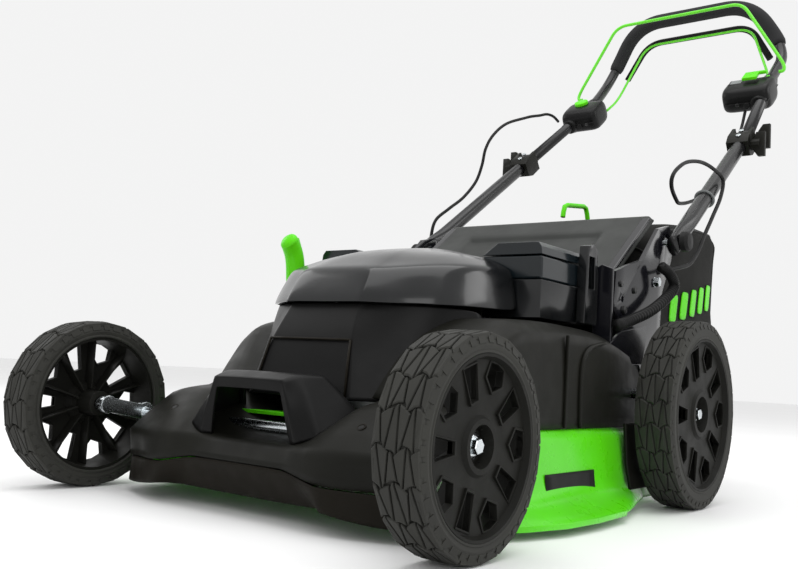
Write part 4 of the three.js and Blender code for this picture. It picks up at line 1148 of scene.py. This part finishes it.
def make_control_boxes():
    """Both housings with their collars, boots and marks."""
    for label, side, inner in (("left", 1, -72), ("right", -1, -60)):
        part = rounded_box_verts(side, inner, 20)
        mesh_piece(f"control_housing_{label}", *part, "control_black", "upper_handle",
                   (f"control_box_{label}",), smooth=True)
        box_tube(f"box_collar_{label}", side, [(0, 26, 0), (-3, 52, 0), (-7, 88, 0)], (19.5, 14.5),
                 "control_black")
        box_tube(f"box_boot_{label}", side, [(1, -47, 0), (0, -30, 0)], (14.5, 19), "bail_black")
        box_tube(f"cable_gland_{label}", side, [(-22, -45, -2), (-22, -30, -2)], (6.5, 8), "bail_black")
        box_slab(f"box_seam_{label}", side, inner + 6, 19.5, -43.6, 42.6, 3.2, 4.4, "bail_black", 0.3)
    box_slab("display_window", 1, -62, -40, 2, 20, 30.4, 31.6, "display_grey", 0.8)
    box_slab("display_frame", 1, -65, -37, -1, 23, 29.5, 30.9, "bail_black", 1.2)
    box_slab("power_mark", 1, 4, 11, 22, 28, 30.4, 31.2, "control_green", 0.5)
    for label, side in SIDES:
        box_tube(f"box_screw_{label}", side, [(-40, -42, 2), (-40, -45.5, 2)], (4, 3.6), "steel_black")


def make_bails():
    """The two rods that the user squeezes against the handle, and the drive rod's flat pad."""
    blade = mirrored_loop([(218, 1205, 812), (228, 1205, 812), (228, 1207, 826), (140, 1210, 974)])
    tube_piece("blade_bail_rod", rounded_path(blade, 24, 10), 3.4, "bail_green", "blade_bail",
               ("blade_bail",), 14)
    drive = mirrored_loop([(172, 1240, 790), (174, 1302, 830), (122, 1340, 968)])
    tube_piece("drive_bail_rod", rounded_path(drive, 34, 10), 2.8, "bail_green", "drive_bail",
               ("drive_bail",), 12)
    pad = mirrored_loop([(165, 1334, 888), (118, 1342, 972)])
    part = swept(rounded_path(pad, 34, 10), oval(4.4, 7.4), 16)
    mesh_piece("drive_bail_pad", *part, "bail_black", "drive_bail", smooth=True)


def make_clamp_details():
    """Two screw heads on each clamp."""
    for label, side in SIDES:
        for i, (along, above) in enumerate(((-34, 19.5), (-14, 20))):
            c, sine = math.cos(HANDLE_SLOPE), math.sin(HANDLE_SLOPE)
            origin = Vector((side * 222, 978 + along * c - above * sine, 618 + along * sine + above * c))
            head = swept([origin, origin + Vector((0, -sine, c)) * 3], oval(4.5), 16)
            piece = mesh_piece(f"clamp_screw_{label}_{i}", *head, "zinc", "lower_handle")
            soften(piece, 0.8, 2, 30)


# ------------------------------------------------------------------ cables

LEFT_TOP = [(178, 1121, 712), (184, 1080, 668), (190, 1020, 606), (197, 950, 548), (200, 889, 509)]
LEFT_LOW = [(197, 950, 548), (200, 889, 509), (199, 818, 481), (200, 760, 462), (207, 700, 449),
            (222, 645, 444),
            (232, 600, 452), (236, 590, 466), (236, 612, 484), (236, 652, 502), (238, 706, 513), (241, 756, 512),
            (244, 792, 502), (246, 776, 470), (248, 735, 432), (250, 694, 396), (249, 668, 366), (248, 640, 345),
            (245, 612, 336), (238, 584, 330), (233, 562, 331)]
RIGHT_TOP = [(-229, 1112, 738), (-230, 1090, 744), (-231, 1062, 742), (-232, 1030, 731), (-233, 982, 715),
             (-235, 901, 681)]
RIGHT_LOW = [(-233, 982, 715), (-235, 901, 681), (-236, 853, 646), (-238, 829, 612), (-240, 821, 576),
             (-243, 806, 540), (-246, 769, 502), (-248, 726, 473), (-250, 686, 443), (-249, 672, 404),
             (-248, 662, 364), (-246, 640, 330), (-240, 600, 296)]


def cable_piece(name, points, first, last, replaced):
    """One run of a cable: a tube along a smooth curve through its guide points.

    first and last say how many guide points are trimmed off its ends.
    """
    path = smooth_path(points, 8)
    path = path[first * 8:len(path) - last * 8]
    part = swept(path, oval(CABLE_RADIUS), 12)
    cable = mesh_piece(name, *part, "cable_rubber", None, (replaced,), smooth=True)
    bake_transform(cable)


def make_cables():
    """Both cables in two runs each, and the tie on the left tube."""
    cable_piece("left_cable_top", LEFT_TOP, 0, 1, "cable_left")
    cable_piece("left_cable_low", LEFT_LOW, 0, 0, "cable_left")
    cable_piece("right_cable_top", RIGHT_TOP, 0, 1, "cable_right")
    cable_piece("right_cable_low", RIGHT_LOW, 0, 0, "cable_right")
    tie_at = PIVOT.lerp(Vector((222, 974, 616)), 0.37)
    across = Vector((1, 0, 0))
    up = Vector((0, -math.sin(HANDLE_SLOPE), math.cos(HANDLE_SLOPE)))
    loop = [tie_at + (across * math.cos(a) * 14 + up * math.sin(a) * 14)
            for a in [2 * math.pi * i / 32 for i in range(33)]]
    tie = swept(loop, oval(2.6, 1.0), 8)
    mesh_piece("cable_tie", *tie, "display_grey", "lower_handle", smooth=True)


# ------------------------------------------------------------------ grass bag

BAG_STATIONS = (
    (614, 183, 176, 174, 338), (628, 196, 180, 181, 358), (645, 200, 184, 188, 378), (670, 201, 190, 193, 401),
    (700, 201, 195, 197, 422), (740, 200, 197, 200, 431), (780, 200, 198, 203, 438), (820, 199, 198, 206, 443),
    (860, 199, 198, 210, 446), (890, 198, 198, 215, 447), (910, 195, 197, 222, 446), (928, 188, 193, 238, 440),
    (939, 178, 187, 256, 430), (943, 162, 176, 276, 414),
)
BAG_AROUND = 120


def side_sag(y, v):
    """How far the bag's slack side hangs inwards; v runs from -1 at its foot to 1 at its top."""
    return 7 * (1 - v * v) * (0.6 + 0.4 * math.sin(y / 46))


def bag_point(station, k):
    """A point of the bag's skin: slack between its piped corners, and creased where it hangs."""
    y, low, high, bottom, top = station
    angle = 2 * math.pi * k / BAG_AROUND
    c, sine = math.cos(angle), math.sin(angle)
    u = math.copysign(abs(c) ** 0.28, c)
    v = math.copysign(abs(sine) ** 0.28, sine)
    share = (v + 1) / 2
    half = low + (high - low) * share
    middle_z, half_z = (bottom + top) / 2, (top - bottom) / 2
    sag_top = 9 * (1 - u * u) * min(1, (y - 600) / 120)
    x = u * (half - side_sag(y, v))
    z = middle_z + v * half_z - (sag_top if v > 0 else -0.4 * sag_top)
    crease = 1.6 * math.sin(y / 17 + z / 23) * math.sin(z / 31 + 1.3) + 1.1 * math.sin(y / 9 - z / 15)
    x -= math.copysign(abs(crease) * (1 - v ** 6) * 0.8, x)
    return (x, y, z)


def make_bag():
    """The slack skin of the bag, closed at both ends, with its piping and seams."""
    verts, faces = [], []
    for station in BAG_STATIONS:
        verts += [bag_point(station, k) for k in range(BAG_AROUND)]
    rings = len(BAG_STATIONS)
    for end, steps in ((0, 5), (rings - 1, 7)):
        hoop = [Vector(bag_point(BAG_STATIONS[end], k)) for k in range(BAG_AROUND)]
        centre = sum(hoop, Vector((0, 0, 0))) / BAG_AROUND
        push = 1.0 if end else 0.0
        base = len(verts)
        for step in range(1, steps + 1):
            share = step / steps
            for point in hoop:
                inward = point.lerp(centre, share * 0.999)
                inward.y += push * 1.2 * math.sin(inward.x / 23) * math.sin(inward.z / 19) * (1 - share)
                verts.append(tuple(inward))
        previous = end * BAG_AROUND
        for step in range(steps):
            current = base + step * BAG_AROUND
            strip = band(previous, current, BAG_AROUND)
            faces += strip if end else [face[::-1] for face in strip]
            previous = current
        last = tuple(range(previous, previous + BAG_AROUND))
        faces.append(last if end else last[::-1])
    for i in range(rings - 1):
        faces += band(i * BAG_AROUND, (i + 1) * BAG_AROUND, BAG_AROUND)
    bag = mesh_piece("bag_skin", verts, faces, "bag_fabric", "grass_bag", ("grass_bag",), smooth=True)
    for name, station in (("rear", BAG_STATIONS[-3]), ("front", BAG_STATIONS[2])):
        loop = [Vector(bag_point(station, k)) for k in range(BAG_AROUND)]
        loop.append(loop[0].copy())
        piping = swept(loop, oval(2.2), 8)
        mesh_piece(f"bag_piping_{name}", *piping, "bail_black", "grass_bag", smooth=True)
    for label, side in SIDES:
        k = 12 if side > 0 else BAG_AROUND // 2 - 12
        edge = [Vector(bag_point(station, k)) for station in BAG_STATIONS[1:-2]]
        seam = swept(smooth_path([tuple(p) for p in edge], 4), oval(1.8), 8)
        mesh_piece(f"bag_seam_{label}", *seam, "bail_black", "grass_bag", smooth=True)


# ------------------------------------------------------------------ deck skin, seams, grip and bag print

def make_deck_skin():
    """The painted outside of the left wall: a rounded shoulder, an upright wall and a rolled lip."""
    stations = ((90, 244, 230), (140, 268, 232), (200, 285, 234), (265, 289, 234), (330, 286.5, 234),
                (380, 275, 233), (430, 261, 231), (480, 245, 227), (520, 235, 223))
    rows = []
    for kind in range(9):
        row = []
        for y, lip, wall in stations:
            profile = (
                (lip - 3, 8.4), (lip + 0.9, 9.2), (lip + 0.9, 15.4), (wall + (lip - wall) * 0.54, 24.6),
                (wall + (lip - wall) * 0.14 + 0.8, 34), (wall + 4.8, 60), (wall + 1.6, 90), (wall + 0.4, 98),
                (wall - 9, 108),
            )
            row.append((profile[kind][0], y, profile[kind][1]))
        rows.append(row)
    grid_piece("deck_skin", rows, "deck_green", "chassis", wall=0.6, row_creases={0: 0.4, 3: 0.3},
               mirrored=False, levels=3)


def make_wheel_guards():
    """A plate between the deck and each rear wheel."""
    guard = [(438, 112), (446, 60), (462, 26), (604, 26), (604, 112)]
    for label, side in SIDES:
        bar(f"wheel_guard_{label}", guard, "x", side * 238, side * 243, "body_black", "chassis", 2.0)


def make_deck_stripe():
    """A plain dark slot shape on the deck's left wall."""
    stripe = [[(x, y, z) for y in (228, 262, 290, 320, 352)]
              for x, z in ((243.4, 37), (242.4, 43), (241.4, 50), (240.8, 58))]
    grid_piece("deck_stripe", stripe, "bail_black", "chassis", wall=0.4, mirrored=False, levels=1,
               row_creases={0: 1, 3: 1}, column_creases={0: 1, 4: 1})


def make_hood_seams():
    """Edges of the recessed panel in front of the motor hood, and the line round its flank."""
    def line(name, points, radius):
        tube_piece(name, [Vector(p) for p in points], radius, "apron_black", "chassis", (), 8)
    line("hood_band_line", [(x, 94.6, 194) for x in (-62, -40, -20, 0, 20, 40, 62)], 1.5)
    for label, side in SIDES:
        line(f"hood_panel_line_{label}",
             [(side * 62, 94.6, 194), (side * 66, 87.2, 165), (side * 71, 79.8, 130)], 1.5)


def make_lever_grip():
    """The moulded green grip, bent forwards at its rounded top."""
    path = smooth_path([(-215, 290, 256), (-215, 288, 292), (-215, 283, 320), (-215, 273, 338),
                        (-215, 264, 345)], 8)

    def section(share, angle):
        left = 1 - share
        size = 1 if left > 0.16 else math.sqrt(max(0.02, 1 - ((0.16 - left) / 0.16) ** 2))
        return 14 * size * math.cos(angle), 13.6 * size * math.sin(angle)

    part = swept(path, section, 24)
    mesh_piece("lever_grip", *part, "control_green", "height_lever", smooth=True)


def bag_side_x(y, z):
    """How far out the slack side of the bag stands at a place."""
    best = min(BAG_STATIONS, key=lambda station: abs(station[0] - y))
    _, low, high, bottom, top = best
    share = (z - bottom) / (top - bottom)
    return low + (high - low) * share - side_sag(y, 2 * share - 1) + 1.2


def make_bag_print():
    """Five plain slanted blocks on the left side of the bag."""
    for i in range(5):
        rows = []
        for level in range(4):
            z = 262 + i * 8 + level * 15
            row = []
            for step in range(4):
                y = 700 + i * 40 + step * 8 + level * 4
                row.append((bag_side_x(y, z), y, z))
            rows.append(row)
        grid_piece(f"bag_print_{i}", rows, "control_green", "grass_bag", wall=1.2, mirrored=False, levels=1)


# ------------------------------------------------------------------ carried-over nodes

NODE_BEVELS = {"deck_shell": 2.0, "battery_bay": 2.0, "lid_post": 2.0, "height_lever": 2.5}
SMALL_BEVEL = 0.8


def finish_nodes():
    """Gives every CAD node its material and rounds its edges."""
    for name, node in NODES.items():
        node.data.materials.clear()
        node.data.materials.append(MATERIALS[SLOT_OF[name]])
        soften(node, NODE_BEVELS.get(name, SMALL_BEVEL))


set_camera()
set_studio()
finish_nodes()
make_wheels()
make_nose()
make_apron()
make_carry_handle()
make_sides()
make_tower()
make_cap()
make_lid()
make_flap()
make_bracket_details()
make_conduit()
make_lower_handles()
make_upper_handle()
make_control_boxes()
make_bails()
make_clamp_details()
make_cables()
make_bag()
make_deck_skin()
make_wheel_guards()
make_deck_stripe()
make_hood_seams()
make_lever_grip()
make_bag_print()
